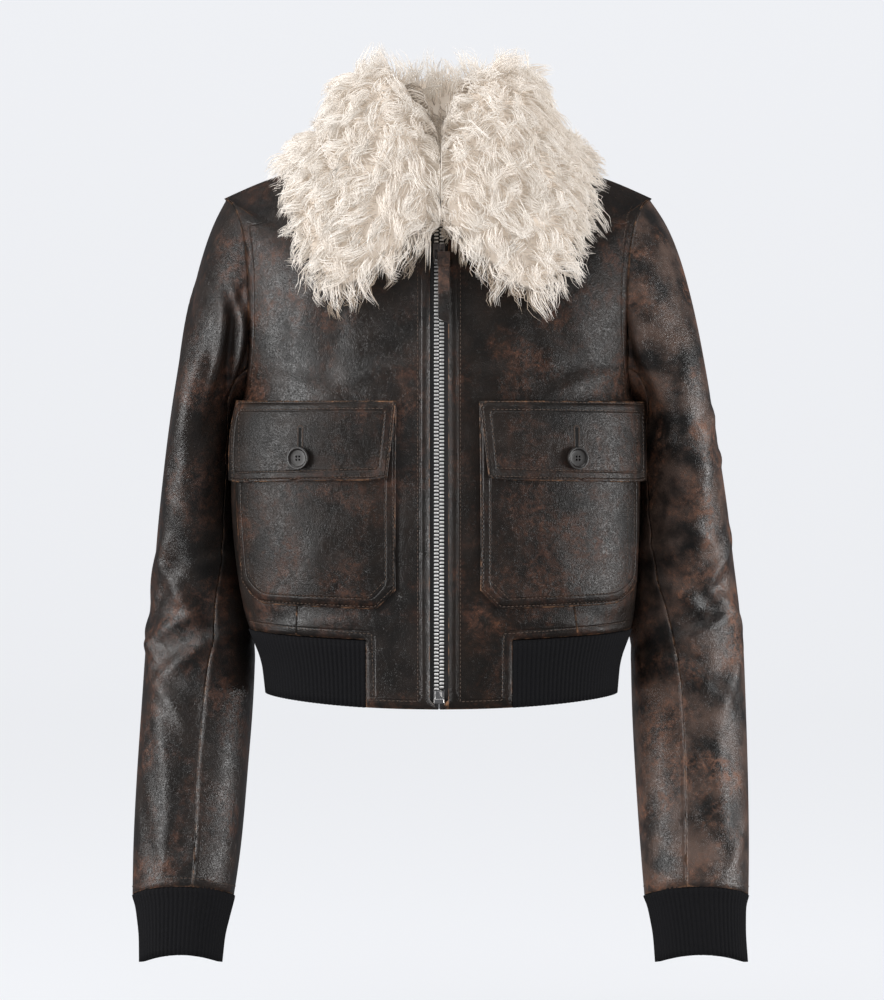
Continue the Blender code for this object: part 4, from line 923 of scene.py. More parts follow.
def root_places(count):
    """Roots spread evenly over the open side of the skin: points and normals."""
    mesh = skin.data
    mesh.calc_loop_triangles()
    corners = np.empty(len(mesh.loop_triangles) * 3, np.int32)
    mesh.loop_triangles.foreach_get("vertices", corners)
    corners = corners.reshape(-1, 3)
    corners = corners[skin_open[corners].max(1) > 0.5]
    points, normals = points_of(skin), normals_of(skin)
    a, b, c = (points[corners[:, k]] for k in range(3))
    area = np.linalg.norm(np.cross(b - a, c - a), axis=1)
    middle = (a + b + c) / 3
    area *= np.where(middle[:, 1] < 0, FRONT_SHARE, 1.0)
    chosen = rng.choice(len(corners), count, p=area / area.sum())
    u, v = rng.random(count), rng.random(count)
    over = u + v > 1
    u[over], v[over] = 1 - u[over], 1 - v[over]
    mix = np.stack([1 - u - v, u, v], axis=1)[:, :, None]
    place = (points[corners[chosen]] * mix).sum(1)
    normal = unit_rows((normals[corners[chosen]] * mix).sum(1))
    return place, normal


def clump_homes(place):
    """One root in each small cell of space is a clump's middle, and each lock joins the nearest."""
    cells = np.floor(place / CLUMP_SIZE).astype(int)
    first = np.unique(cells, axis=0, return_index=True)[1]
    tree = KDTree(len(first))
    for index, root in enumerate(first):
        tree.insert(place[root], index)
    tree.balance()
    home = np.array([tree.find(p)[1] for p in place])
    return first, home


roots, root_normals = root_places(LOCKS)
print("roots:", len(roots), "in", len(clump_homes(roots)[0]), "clumps")

# %% [markdown]
# ## How a lock grows
# A lock leaves the skin upright and lies down along the way the wool is combed: away from the neck
# and down, and upwards on the crest. It is drawn towards the middle of its clump and curls round
# that line. All locks are grown at once, as rows of points.

# %% Growing locks
COMBED_DOWN = np.array([0.0, -0.10, -0.75])
COMBED_UP = np.array([0.0, 0.0, 0.55])


def combed(place, normal):
    """The way the wool lies: away from the neck and down."""
    away = (place - NECK) * np.array([1.0, 1.0, 0.0])
    top = smooth_step(place[:, 2], 0.045, 0.085)[:, None]
    way = unit_rows(away) * 0.55 + COMBED_DOWN * (1 - top) + COMBED_UP * top
    way = way - normal * (way * normal).sum(1, keepdims=True)
    return unit_rows(way)


def grown(place, normal, flow, length, lift):
    """Smooth centre lines that leave the skin upright and lie down along the flow."""
    line, at = [place], place
    for s in np.linspace(0.08, 0.95, LOCK_STEPS - 1):
        way = normal * (lift * (1 - 0.85 * s))[:, None] + flow * (0.30 + 0.90 * s)
        way[:, 2] -= 0.22 * s
        at = at + unit_rows(way) * (length / (LOCK_STEPS - 1))[:, None]
        line.append(at)
    return np.stack(line, axis=1)


def lock_paths(place, normal, length):
    """Middle lines of the locks, one row of points for each, and each lock's clump."""
    first, home = clump_homes(place)
    clumps = len(first)
    flow = combed(place[first], normal[first])
    across = np.cross(normal[first], flow)
    swirl = rng.normal(0, 0.70, clumps)[:, None]
    flow = unit_rows(flow * np.cos(swirl) + across * np.sin(swirl))
    across = np.cross(normal[first], flow)
    wisp = rng.random(clumps) < 0.05
    lift = np.where(wisp, 1.6, rng.uniform(0.55, 1.05, clumps))
    reach = rng.uniform(0.8, 1.15, clumps) * np.where(wisp, 1.22, 1.0)
    middle_line = grown(place[first], normal[first], flow, reach * np.mean(LOCK_LENGTH), lift)
    own_flow = unit_rows(flow[home] + rng.normal(0, 0.20, (len(place), 3)))
    line = grown(place, normal, own_flow, reach[home] * length, lift[home])
    share = np.linspace(0, 1, LOCK_STEPS)[None, :, None]
    gather = 0.58 * share ** 1.2
    line = line * (1 - gather) + middle_line[home] * gather
    phase = rng.uniform(0, 2 * math.pi, clumps)[home] + rng.normal(0, 0.45, len(place))
    turns = rng.uniform(0.7, 1.5, clumps)[home]
    curl = rng.uniform(0.0018, 0.0040, clumps)[home] * rng.uniform(0.7, 1.3, len(place))
    angle = phase[:, None, None] + 2 * math.pi * turns[:, None, None] * share
    grow = curl[:, None, None] * share ** 0.8
    line = line + across[home][:, None, :] * np.cos(angle) * grow
    line = line + normal[first][home][:, None, :] * np.sin(angle) * grow * 0.7
    return line, home


print("a lock has", LOCK_STEPS, "points")

# %% [markdown]
# ## Room at the throat
# The two leaves part above the zip, and the pull has to swing up between them. Wool that would
# stand in either place is swept to its own side, and wool that stands too far forward is pressed
# back. Nothing is cut off, so the locks keep their tips.

# %% Parting the wool
PARTING_FOOT = 0.008        # height at which the two leaves part
PARTING_SLOPE = 0.34        # and how fast the opening widens above it
PARTING_MOST = 0.024        # metres, on each side
FRONT_REACH = -0.134        # wool that stands further forward than this is pressed back
PULL_HINGE = (0.0030, -0.1069, -0.0835)     # the pull's hinge, at the middle of loop and strap
PULL_ROOM = 0.0106          # metres kept free of wool on both sides of the pull


def parted(line, place):
    """Keep the opening at the throat clear: the leaves' wool is swept aside there."""
    side = np.sign(place[:, 0] - ZIP_X)[:, None]
    front = (place[:, 1] < -0.015)[:, None]
    clear = np.clip(PARTING_SLOPE * (line[:, :, 2] - PARTING_FOOT), 0, PARTING_MOST)
    off = (line[:, :, 0] - ZIP_X) * side
    pushed = np.where(front & (off < clear), clear - 0.3 * (clear - off), off)
    line[:, :, 0] = ZIP_X + side * pushed
    return line


def pressed_back(line):
    over = np.minimum(line[:, :, 1] - FRONT_REACH, 0)
    line[:, :, 1] -= 0.6 * over
    return line


def clear_of_pull(line, place):
    """Keep the space that the pull swings through clear, by an uneven width so no edge shows."""
    before = 1 - smooth_step(line[:, :, 1], PULL_HINGE[1] + 0.004, PULL_HINGE[1] + 0.010)
    below = 1 - smooth_step(line[:, :, 2], PULL_HINGE[2] + 0.012, PULL_HINGE[2] + 0.020)
    side = np.where(place[:, 0] < PULL_HINGE[0], -1, 1)[:, None]
    off = (line[:, :, 0] - PULL_HINGE[0]) * side
    uneven = 1 + 0.45 * np.sin(2600 * place[:, 2] + 900 * place[:, 1])[:, None] ** 2
    room = PULL_ROOM * before * below * uneven
    aside = np.maximum(room - 0.15 * (room - off), 0.82 * room)
    line[:, :, 0] = PULL_HINGE[0] + side * np.where(off < room, aside, off)
    return line


lengths = rng.uniform(*LOCK_LENGTH, LOCKS)
crest = smooth_step(roots[:, 2], 0.050, 0.075) * (1 - smooth_step(np.abs(roots[:, 0]), 0.045, 0.065))
lengths *= 1 + CREST_GAIN * crest
paths, homes = lock_paths(roots, root_normals, lengths)
paths = clear_of_pull(pressed_back(parted(paths, roots)), roots)
print("the wool reaches forward to", round(paths[:, :, 1].min(), 4))

# %% [markdown]
# ## Wool
# Each lock becomes a tapered strand with three sides. Wool lets light through, which a solid strand
# doesn't, so each wool glows faintly in its own colour: this is painted light, which lifts its
# shadows. The wool inside the collar is painted darker, as painted shade. The skin between the locks
# is painted a little darker than the wool, as painted shade in the gaps. The skin's underside, which
# lies on the leather, is suede, and it is painted near black, which also paints the shade beneath
# the wool.

# %% Wool


def lock_mesh(name, paths, radius, shade):
    """Three-sided tapered strands along the paths, all in one mesh."""
    count, steps = paths.shape[:2]
    along = unit_rows(np.gradient(paths, axis=1))
    side = unit_rows(np.cross(along, np.array([0.31, 0.22, 0.92])))
    other = np.cross(along, side)
    share = np.linspace(0, 1, steps)
    thick = radius[:, None] * (1 - 0.88 * share ** 1.5)[None, :]
    ring = []
    for k in range(3):
        angle = 2 * math.pi * k / 3
        ring.append(paths + (side * math.cos(angle) + other * math.sin(angle)) * thick[:, :, None])
    points = np.stack(ring, axis=2).reshape(-1, 3)
    base = (np.arange(count) * steps * 3)[:, None]
    quads = []
    for s in range(steps - 1):
        for k in range(3):
            n = (k + 1) % 3
            quads.append(np.concatenate([base + 3 * s + k, base + 3 * s + n,
                                         base + 3 * s + 3 + n, base + 3 * s + 3 + k], axis=1))
    quads = np.concatenate(quads)
    caps = np.concatenate([
        np.concatenate([base + 2, base + 1, base], axis=1),
        np.concatenate([base + 3 * steps - 3, base + 3 * steps - 2, base + 3 * steps - 1], axis=1),
    ])
    piece = new_piece(name, points, quads.tolist() + caps.tolist())
    keep_value(piece, "along", np.tile(np.repeat(share, 3), count))
    keep_value(piece, "tone", np.repeat(shade, steps * 3))
    piece.data.shade_smooth()
    return piece


PAINTED_GLOW = 0.31                 # painted light: how strongly the wool glows in its own colour, times its tip's red


def fur_material(name, tip, dull_tip, root):
    """Wool that is painted darker at its roots, as painted shade, with some clumps duller than others."""
    made, tree, shader = plain_shader(name, tip, 0.8)
    shader.inputs["Specular IOR Level"].default_value = 0.10
    shader.inputs["Sheen Weight"].default_value = 0.30
    shader.inputs["Sheen Roughness"].default_value = 0.6
    # painted light: the wool glows faintly in its own colour, which lifts its shadows
    shader.inputs["Emission Color"].default_value = (0.86, 0.76, 0.64, 1)
    shader.inputs["Emission Strength"].default_value = PAINTED_GLOW * tip[0]
    along, tone = attribute(tree, "along"), attribute(tree, "tone")
    warm = blended(tree, remap(tree, tone, 0.45, 1.0), tip, dull_tip)
    # painted shade: the colour darkens to the root colour near the skin
    mixed = blended(tree, remap(tree, along, 0.0, 0.40), root, warm)
    join(tree, (mixed, shader.inputs["Base Color"]))
    return made


curly_fur = fur_material("curly_fur", (0.665, 0.620, 0.570), (0.645, 0.580, 0.516), (0.610, 0.542, 0.474))
# painted shade: the wool inside the collar is a darker copy of the wool, for the shade in there
fur_painted_shade = fur_material("fur_painted_shade", (0.330, 0.255, 0.185), (0.280, 0.205, 0.140), (0.200, 0.140, 0.090))
# The skin's downward-facing underside is suede, painted near black, which also paints the shade beneath the
# wool.
underside = (normals_of(skin)[:, 2] < -0.25) & (points_of(skin)[:, 2] < -0.040)
keep_value(skin, "along", np.where(underside, 1.0, 0.25))
keep_value(skin, "tone", np.where(underside, 1.0, 0.45))
# painted shade: the skin between the locks is a little darker than the wool
skin_wool = fur_material("skin_wool", (0.620, 0.550, 0.480), (0.045, 0.030, 0.022), (0.570, 0.490, 0.410))
dress(skin, skin_wool, node_name="collar")

tones = rng.random(homes.max() + 1)[homes] * 0.7 + rng.random(LOCKS) * 0.3
radii = rng.uniform(*LOCK_RADIUS, LOCKS)
inside = (((roots - NECK)[:, :2] * root_normals[:, :2]).sum(1) < 0) & (roots[:, 2] < 0.060)
behind = roots[:, 1] > -0.010
leftward = roots[:, 0] > 0
zones = {
    "fur_inside": inside,
    "fur_back_left": ~inside & behind & leftward,
    "fur_back_right": ~inside & behind & ~leftward,
    "fur_leaf_left": ~inside & ~behind & leftward,
    "fur_leaf_right": ~inside & ~behind & ~leftward,
}
for name, chosen in zones.items():
    wool = fur_painted_shade if name == "fur_inside" else curly_fur
    dress(lock_mesh(name, paths[chosen], radii[chosen], tones[chosen]), wool)

# %% [markdown]
# ## Zip
# The zip has a row of cast metal teeth on each of two woven tapes. The teeth of one row mesh
# between those of the other, so each row repeats every 3.1 mm and the second is half a step lower.
# One tooth is modelled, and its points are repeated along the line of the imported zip.

# %% Zip teeth
TOOTH_STEP = 0.0031
TOOTH_SIZE = (0.0038, 0.0022, 0.0017)
ROW_X = 0.0023              # metres from the zip's line to the middle of each row


def chain_line():
    """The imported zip's line: heights from bottom to top, and the front's y at each."""
    points = points_of(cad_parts["zip_chain"])
    heights = np.unique(np.round(points[:, 2], 3))
    front = [points[np.abs(points[:, 2] - z) < 0.004][:, 1].min() for z in heights]
    return heights, np.array(front)


def line_places(heights, fronts, zs):
    """Points on the line at these heights, and its slope there."""
    y = np.interp(zs, heights, fronts)
    slope = (np.interp(zs + 0.004, heights, fronts) - np.interp(zs - 0.004, heights, fronts)) / 0.008
    return y, slope


def repeated(name, source, places, slopes):
    """Copies of a small piece at many places, each tilted by its slope, in one mesh."""
    points = points_of(source)
    faces = [list(face.vertices) for face in source.data.polygons]
    tilt = np.arctan(slopes)
    turned = np.empty((len(places), len(points), 3))
    turned[:, :, 0] = points[None, :, 0]
    turned[:, :, 1] = points[None, :, 1] * np.cos(tilt)[:, None] + points[None, :, 2] * np.sin(tilt)[:, None]
    turned[:, :, 2] = points[None, :, 2] * np.cos(tilt)[:, None] - points[None, :, 1] * np.sin(tilt)[:, None]
    turned += places[:, None, :]
    shift = np.arange(len(places)) * len(points)
    all_faces = [[start + i for i in face] for start in shift for face in faces]
    bpy.data.objects.remove(source)
    return new_piece(name, turned.reshape(-1, 3), all_faces)


def rounded_block(name, size, bevel, segments=1):
    bpy.ops.mesh.primitive_cube_add(size=1)
    block = bpy.context.object
    block.name = name
    block.data.transform(block.matrix_world)
    for vertex in block.data.vertices:
        vertex.co = [c * s for c, s in zip(vertex.co, size)]
    apply_modifier(block, "BEVEL", width=bevel, segments=segments, limit_method="NONE")
    return block


def teeth():
    heights, fronts = chain_line()
    count = int((heights[-1] - heights[0]) / TOOTH_STEP)
    places, slopes = [], []
    for side in (-1, 1):
        zs = heights[0] + TOOTH_STEP * (np.arange(count) + (0.4 if side < 0 else 0.9))
        y, slope = line_places(heights, fronts, zs)
        x = np.full(count, ZIP_X + side * ROW_X)
        places.append(np.stack([x, y + TOOTH_SIZE[1] / 2, zs], axis=1))
        slopes.append(slope)
    tooth = rounded_block("tooth", TOOTH_SIZE, 0.0004)
    return repeated("zip_teeth", tooth, np.concatenate(places), np.concatenate(slopes))


steel = plain_shader("zip_steel", (0.86, 0.85, 0.83), 0.45, 0.9)[0]
# painted shade: the slider and the pull's loop are a darker copy of the steel, for the shade they sit in
# under the wool
steel_painted_shade = plain_shader("zip_steel_painted_shade", (0.20, 0.18, 0.17), 0.32, 1.0)[0]
zip_teeth = dress(teeth(), steel, node_name="zip_chain")
print("teeth faces:", len(zip_teeth.data.polygons))

# %% [markdown]
# ## Zip tapes
# Each row of teeth is clamped on a woven tape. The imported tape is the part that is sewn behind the
# leather. A thin strip continues it to the zip's line, behind the teeth, and down to the hem.

# %% Zip tapes
TAPE_FOOT = 0.0158          # metres that the tape goes on below the teeth


def tape_material():
    made, tree, shader = plain_shader("woven_tape", (0.012, 0.011, 0.011), 0.85)
    weave = node(tree, "ShaderNodeTexWave", {"Scale": 330.0, "Distortion": 0.6},
                 bands_direction="DIAGONAL")
    join(tree, (place_of(tree), weave.inputs["Vector"]))
    bump = node(tree, "ShaderNodeBump", {"Strength": 0.5, "Distance": 0.0003})
    join(tree, (weave.outputs["Fac"], bump.inputs["Height"]),
         (bump.outputs["Normal"], shader.inputs["Normal"]))
    return made


def tape_edge(side):
    """The part of a tape that the teeth are clamped on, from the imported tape's edge to the middle."""
    heights, fronts = chain_line()
    zs = np.linspace(heights[0] - TAPE_FOOT, heights[-1], 60)
    y = line_places(heights, fronts, zs)[0]
    low, high = sorted((ZIP_X + side * 0.0001, ZIP_X + side * 0.0042))
    points = [(x, y[k] + back, z) for k, z in enumerate(zs)
              for x, back in ((low, 0.0012), (high, 0.0012), (high, 0.0021), (low, 0.0021))]
    faces = [(3, 2, 1, 0)]
    for k in range(len(zs) - 1):
        faces += [(4 * k + c, 4 * k + (c + 1) % 4, 4 * k + 4 + (c + 1) % 4, 4 * k + 4 + c)
                  for c in range(4)]
    faces.append(tuple(4 * (len(zs) - 1) + c for c in range(4)))
    return new_piece("tape_edge_" + ("left" if side > 0 else "right"), points, faces)


woven = tape_material()
for hand, side in (("left", 1), ("right", -1)):
    dress(merged_copy("zip_tape_" + hand, "tape_" + hand), woven,
                        node_name="zip_tape_" + hand)
    edge_piece = dress(tape_edge(side), woven)

# %% [markdown]
# ## Slider, end box and pull
# The metal parts are cast, so their edges are rounded. The end box has a rolled lip, and the pin of
# the other half stands in it. The pull is a leather strap that is folded through the loop and held
# by a narrow band. It hangs to one side of the teeth, and its foot is cut at a slant.

# %% Slider and end box


def rounded_copy(node_name, name, bevel):
    piece = merged_copy(node_name, name, 75)
    apply_modifier(piece, "BEVEL", width=bevel, segments=2, limit_method="ANGLE",
                   angle_limit=math.radians(40))
    return piece


for node_name, body in (("zip_slider", "jacket"), ("zip_link", "zip_pull")):
    dress(rounded_copy(node_name, node_name + "_cast", 0.00025), steel_painted_shade, body, node_name)
box_steel = plain_shader("zip_box_steel", (0.62, 0.61, 0.60), 0.28, 1.0)[0]
end_box = dress(rounded_copy("zip_box", "zip_box_cast", 0.0007), box_steel, node_name="zip_box")
box_points = points_of(end_box)
box_low, box_high = box_points.min(axis=0), box_points.max(axis=0)
BOX_PARTS = {
    # piece: size, and its place from the middle of the box's foot
    "zip_box_lip": ((0.0092, 0.0032, 0.0046), (0.0, -0.0003, 0.0023)),
    "zip_box_pin": ((0.0026, 0.0022, 0.0062), (0.0016, -0.0003, 0.0085)),
}
for name, (size, place) in BOX_PARTS.items():
    part = rounded_block(name, size, 0.0008)
    foot = np.array([(box_low[0] + box_high[0]) / 2, box_low[1] + size[1] / 2, box_low[2]])
    move_points(part, points_of(part) + (foot + np.array(place)))
    dress(part, box_steel)
print("end box from", round(box_low[2], 4), "to", round(box_high[2], 4))

# %% Pull
# The strap is warm brown, and its dye and brown are also painted lighter, as painted light against the shade
# that the wool casts on it.
leather_strap = leather("leather_strap", wear=0.8, clouds=1.5, wrinkle=0.3, edge_width=0.0006,
                        dye_and_painted_tone=(0.052, 0.030, 0.022), brown=(0.100, 0.048, 0.030))
STRAP_SHIFT = np.array([0.0040, -0.0026, 0.0])  # to one side of the teeth, and clear of the leather
BAND_SIZE = (0.0108, 0.0034, 0.0125)


def pull_band(strap):
    """The band round the strap's folded end, in the strap's own lean."""
    points = points_of(strap)
    high = points[points[:, 2] > points[:, 2].max() - 0.004]
    low = points[points[:, 2] < points[:, 2].min() + 0.008]
    lean = (high.mean(0) - low.mean(0))[1] / (high.mean(0) - low.mean(0))[2]
    band = rounded_block("pull_band", BAND_SIZE, 0.0006, 2)
    shape = points_of(band)
    shape[:, 1] += shape[:, 2] * lean
    top = np.array([high[:, 0].mean(), high[:, 1].mean(), points[:, 2].max()])
    move_points(band, shape + top + np.array([0, lean * 0.0035, 0.0035]))
    return band


strap = rounded_copy("zip_strap", "pull_strap", 0.0004)
move_points(strap, points_of(strap) + STRAP_SHIFT)
band = pull_band(strap)
for piece in (strap, band):
    keep_value(piece, "from_edge", np.full(len(piece.data.vertices), 0.004))
    piece.data.shade_flat()
dress(strap, leather_strap, "zip_pull", "zip_strap")
dress(band, leather_strap, "zip_pull")
print("pull:", strap.name, band.name)

# %% [markdown]
# ## Buttons and buttonholes
# Each flap closes on a dark horn button with a raised rim and four holes. A disc is inset twice and
# its middle pressed in, which leaves the rim, and four thin cylinders are cut out of it. It is made
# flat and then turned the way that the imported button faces.

# %% Buttons
BUTTON_RADIUS = 0.0096
BUTTON_THICK = 0.0034
HOLE_RADIUS = 0.0009
HOLE_RING = 0.0019          # metres from the button's middle to each hole's


def button_place(hand):
    """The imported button's middle and the way it faces."""
    points = points_of(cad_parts["button_" + hand])
    middle = (points.min(0) + points.max(0)) / 2
    axis = np.linalg.svd(points - points.mean(0))[2][2]
    return middle, axis if axis[1] < 0 else -axis


def button(hand):
    bpy.ops.object.select_all(action="DESELECT")
    bpy.ops.mesh.primitive_cylinder_add(vertices=40, radius=BUTTON_RADIUS, depth=BUTTON_THICK)
    disc = bpy.context.object
    disc.name = "button_turned_" + hand
    bpy.ops.object.mode_set(mode="EDIT")
    bpy.ops.mesh.select_mode(type="FACE")
    bpy.ops.mesh.select_all(action="DESELECT")
    bpy.ops.object.mode_set(mode="OBJECT")
    for face in disc.data.polygons:
        face.select = face.normal.z > 0.9
    bpy.ops.object.mode_set(mode="EDIT")
    bpy.ops.mesh.inset(thickness=0.0016)
    bpy.ops.mesh.inset(thickness=0.0011)
    bpy.ops.transform.translate(value=(0, 0, -0.0011))
    bpy.ops.mesh.inset(thickness=0.0030)
    bpy.ops.object.mode_set(mode="OBJECT")
    apply_modifier(disc, "BEVEL", width=0.0004, segments=3, limit_method="ANGLE",
                   angle_limit=math.radians(35))
    for k in range(4):
        turn = math.pi / 4 + k * math.pi / 2
        place = (HOLE_RING * math.cos(turn), HOLE_RING * math.sin(turn), 0)
        bpy.ops.mesh.primitive_cylinder_add(vertices=14, radius=HOLE_RADIUS, depth=0.01, location=place)
        drill = bpy.context.object
        apply_modifier(disc, "BOOLEAN", operation="DIFFERENCE", object=drill)
        bpy.data.objects.remove(drill)
    pick(disc)
    bpy.ops.object.shade_smooth_by_angle(angle=math.radians(35))
    middle, axis = button_place(hand)
    turn = Vector(axis).to_track_quat("Z", "Y").to_matrix().to_4x4()
    turn.translation = Vector(middle)
    disc.data.transform(turn)
    return disc


horn, horn_tree, horn_shader = plain_shader("dark_horn", (0.012, 0.009, 0.008), 0.38)
streak = noise(horn_tree, place_of(horn_tree), 240.0, 4.0, 0.6)
horn_tone = blended(horn_tree, streak, (0.003, 0.003, 0.003), (0.014, 0.010, 0.008))
join(horn_tree, (horn_tone, horn_shader.inputs["Base Color"]))
for hand in ("left", "right"):
    dress(button(hand), horn, node_name="button_" + hand)
print("buttons of radius", BUTTON_RADIUS)

# %% [markdown]
# ## Stitches
# The jacket is sewn with thick brown thread. A row is planned as a line in the front view, or as a
# ring of places round the arm or the waist, and dropped on to the leather. Each stitch is one small
# lens of thread that dips into the leather at both ends.

# %% Stitch helpers
STITCH_STEP = 0.0036
STITCH_LENGTH = 0.0027
STITCH_RADIUS = 0.00034
VIEW_Y = -0.4               # rays start here, well in front of the jacket


def front_line(tree, corners):
    """A line of (x, z) corners in the front view, dropped on the leather: points and normals."""
    corners = np.array(corners, float)
    gone = np.concatenate([[0], np.cumsum(np.linalg.norm(np.diff(corners, axis=0), axis=1))])
    at = np.arange(0.5 * STITCH_STEP, gone[-1], 0.0012)
    xs, zs = np.interp(at, gone, corners[:, 0]), np.interp(at, gone, corners[:, 1])
    return dropped(tree, [((x, VIEW_Y, z), (0, 1, 0)) for x, z in zip(xs, zs)])


def dropped(tree, rays):
    """Where rays, each a start and a way, meet the leather: points and normals."""
    found = []
    for start, way in rays:
        place, normal, _, _ = tree.ray_cast(Vector(start), Vector(way), 1.0)
        if place is not None:
            found.append((np.array(place), np.array(normal)))
    return found


def stitch_places(line):
    """Even places along a dropped line: middles, ways and normals."""
    if len(line) < 3:
        return []
    points, normals = np.array([p for p, _ in line]), np.array([n for _, n in line])
    steps = np.linalg.norm(np.diff(points, axis=0), axis=1)
    gone = np.concatenate([[0], np.cumsum(steps)])
    at = np.arange(STITCH_STEP / 2, gone[-1], STITCH_STEP)
    places = []
    for d in at:
        k = int(np.clip(np.searchsorted(gone, d) - 1, 0, len(steps) - 1))
        if steps[k] > 0.006:
            continue
        t = (d - gone[k]) / max(steps[k], 1e-9)
        places.append((points[k] * (1 - t) + points[k + 1] * t, points[k + 1] - points[k], normals[k]))
    return places


def stitches(name, places, length=STITCH_LENGTH, radius=STITCH_RADIUS):
    """A mesh of thread lenses: five-sided, fat in the middle and pointed at both ends."""
    middles = np.array([p for p, _, _ in places])
    ways = unit_rows(np.array([w for _, w, _ in places]))
    ups = np.array([n for _, _, n in places])
    ups = unit_rows(ups - ways * (ups * ways).sum(1, keepdims=True))
    sides = np.cross(ways, ups)
    rings = [(-0.5, 0.25), (0.0, 1.0), (0.5, 0.25)]
    sections = []
    for along, fat in rings:
        for k in range(5):
            turn = 2 * math.pi * k / 5
            lift = radius * (0.5 if along == 0 else -0.4)
            sections.append(middles + ways * along * length + ups * (lift + radius * fat * math.cos(turn))
                            + sides * radius * fat * math.sin(turn))
    points = np.stack(sections, axis=1).reshape(-1, 3)
    faces = []
    for n in range(len(places)):
        base = 15 * n
        for r in range(2):
            for k in range(5):
                m = (k + 1) % 5
                low, high = base + 5 * r, base + 5 * r + 5
                faces.append((low + k, high + k, high + m, low + m))
        faces.append(tuple(base + k for k in range(5)))
        faces.append(tuple(base + 14 - k for k in range(5)))
    piece = new_piece(name, points, faces)
    piece.data.shade_smooth()
    return piece


thread = plain_shader("brown_thread", (0.070, 0.043, 0.028), 0.6)[0]
print("thread:", thread.name)

# %% [markdown]
# ## Rows of stitches
# Pockets and flaps have two rows, a close pair to each edge. One row holds each armhole, and one
# runs beside the zip, round the foot of the tongue and along the seam above the waistband.

# %% Stitch rows


def inset_corners(corners, by, centre):
    """Corners of an open line drawn towards a centre by a distance, for the second row."""
    corners, centre = np.array(corners, float), np.array(centre, float)
    return corners + np.sign(centre - corners) * by


rows = {}
ROW_DROP = 0.0006           # metres that a flap's top rows lie below their place, off its rounded edge
POCKET_LINE = ((0.0355, -0.286), (0.0355, -0.371), (0.0515, -0.387), (0.1550, -0.383),
               (0.1630, -0.377), (0.1710, -0.365), (0.1710, -0.286))
ARMHOLE_LINES = {
    "right": ((-0.1746, -0.0413), (-0.1677, -0.0611), (-0.1617, -0.0826), (-0.1565, -0.1032),
              (-0.1544, -0.1187), (-0.1565, -0.1454), (-0.1582, -0.1651), (-0.1591, -0.1841),
              (-0.1617, -0.2004)),
    "left": ((0.1703, -0.0370), (0.1634, -0.0499), (0.1591, -0.0748), (0.1570, -0.1110), (0.1600, -0.1419),
             (0.1582, -0.1703), (0.1608, -0.2030)),
}
for hand, side in (("left", 1), ("right", -1)):
    pocket, flap = tree_of([panels["pocket_" + hand]]), tree_of([panels["flap_" + hand]])
    front = tree_of([panels["front_" + hand]])
    for label, by in (("near", STITCH_NEAR), ("far", STITCH_FAR)):
        line = inset_corners(POCKET_LINE, by, (0.100, -0.286)) * np.array([side, 1])
        rows["pocket_" + label + "_" + hand] = stitch_places(front_line(pocket, line))
    shape = points_of(panels["flap_" + hand])
    top, foot = shape[:, 2].max(), shape[:, 2].min()
    near_x, far_x = np.abs(shape[:, 0]).min(), np.abs(shape[:, 0]).max()
    for label, by in (("near", STITCH_NEAR), ("far", STITCH_FAR)):
        line = np.array([(near_x + by, top - by - ROW_DROP),
                         (far_x - by - 0.001, top - by - ROW_DROP)]) * np.array([side, 1])
        rows["flap_top_" + label + "_" + hand] = stitch_places(front_line(flap, line))
        line = np.array([(near_x + by + 0.0004, top - by),
                         (near_x + FLAP_SLANT * 0.95 + by, foot + by + 0.003),
                         (0.100, foot + by + 0.0012), (far_x - by - 0.002, foot + by),
                         (far_x - by - 0.001, top - by)]) * np.array([side, 1])
        rows["flap_foot_" + label + "_" + hand] = stitch_places(front_line(flap, line))
    rows["armhole_" + hand] = stitch_places(front_line(front, ARMHOLE_LINES[hand]))
    edge_x = ZIP_X + side * 0.0180
    line = [(edge_x, -0.060), (edge_x, -0.4655), (side * 0.0540, -0.4645), (side * 0.0560, -0.408),
            (side * 0.110, -0.4045), (side * 0.163, -0.400)]
    rows["zip_edge_" + hand] = stitch_places(front_line(front, line))
print({name: len(places) for name, places in rows.items()})

# %% [markdown]
# ## Rings of stitches
# A row also runs round the back above the waistband and round each sleeve above its cuff. The
# lowest edge of the leather is found all the way round, and the row keeps its distance from it.

# %% Stitch rings


def ring_row(tree, middle, height_of, spread=360, start=0.0, out=0.4):
    """A ring of places round an upright axis, dropped on the leather from outside."""
    rays = []
    for turn in np.radians(start + np.arange(0, spread, 0.5)):
        way = np.array([math.sin(turn), -math.cos(turn), 0.0])
        z = height_of(turn)
        begin = np.array([*middle, z]) + way * out
        rays.append((begin, -way))
    return stitch_places(dropped(tree, rays))


def lowest_edge(pieces, middle):
    """How low the outer walls of these pieces reach, by the turn round an axis."""
    points = np.concatenate([points_of(p) for p in pieces])
    turns = np.degrees(np.arctan2(points[:, 0] - middle[0], middle[1] - points[:, 1])) % 360
    known = [a for a in range(0, 360, 5) if (np.abs((turns - a + 180) % 360 - 180) < 4).any()]
    lows = [points[np.abs((turns - a + 180) % 360 - 180) < 4][:, 2].min() for a in known]
    return lambda turn: float(np.interp(math.degrees(turn) % 360, known, lows, period=360))


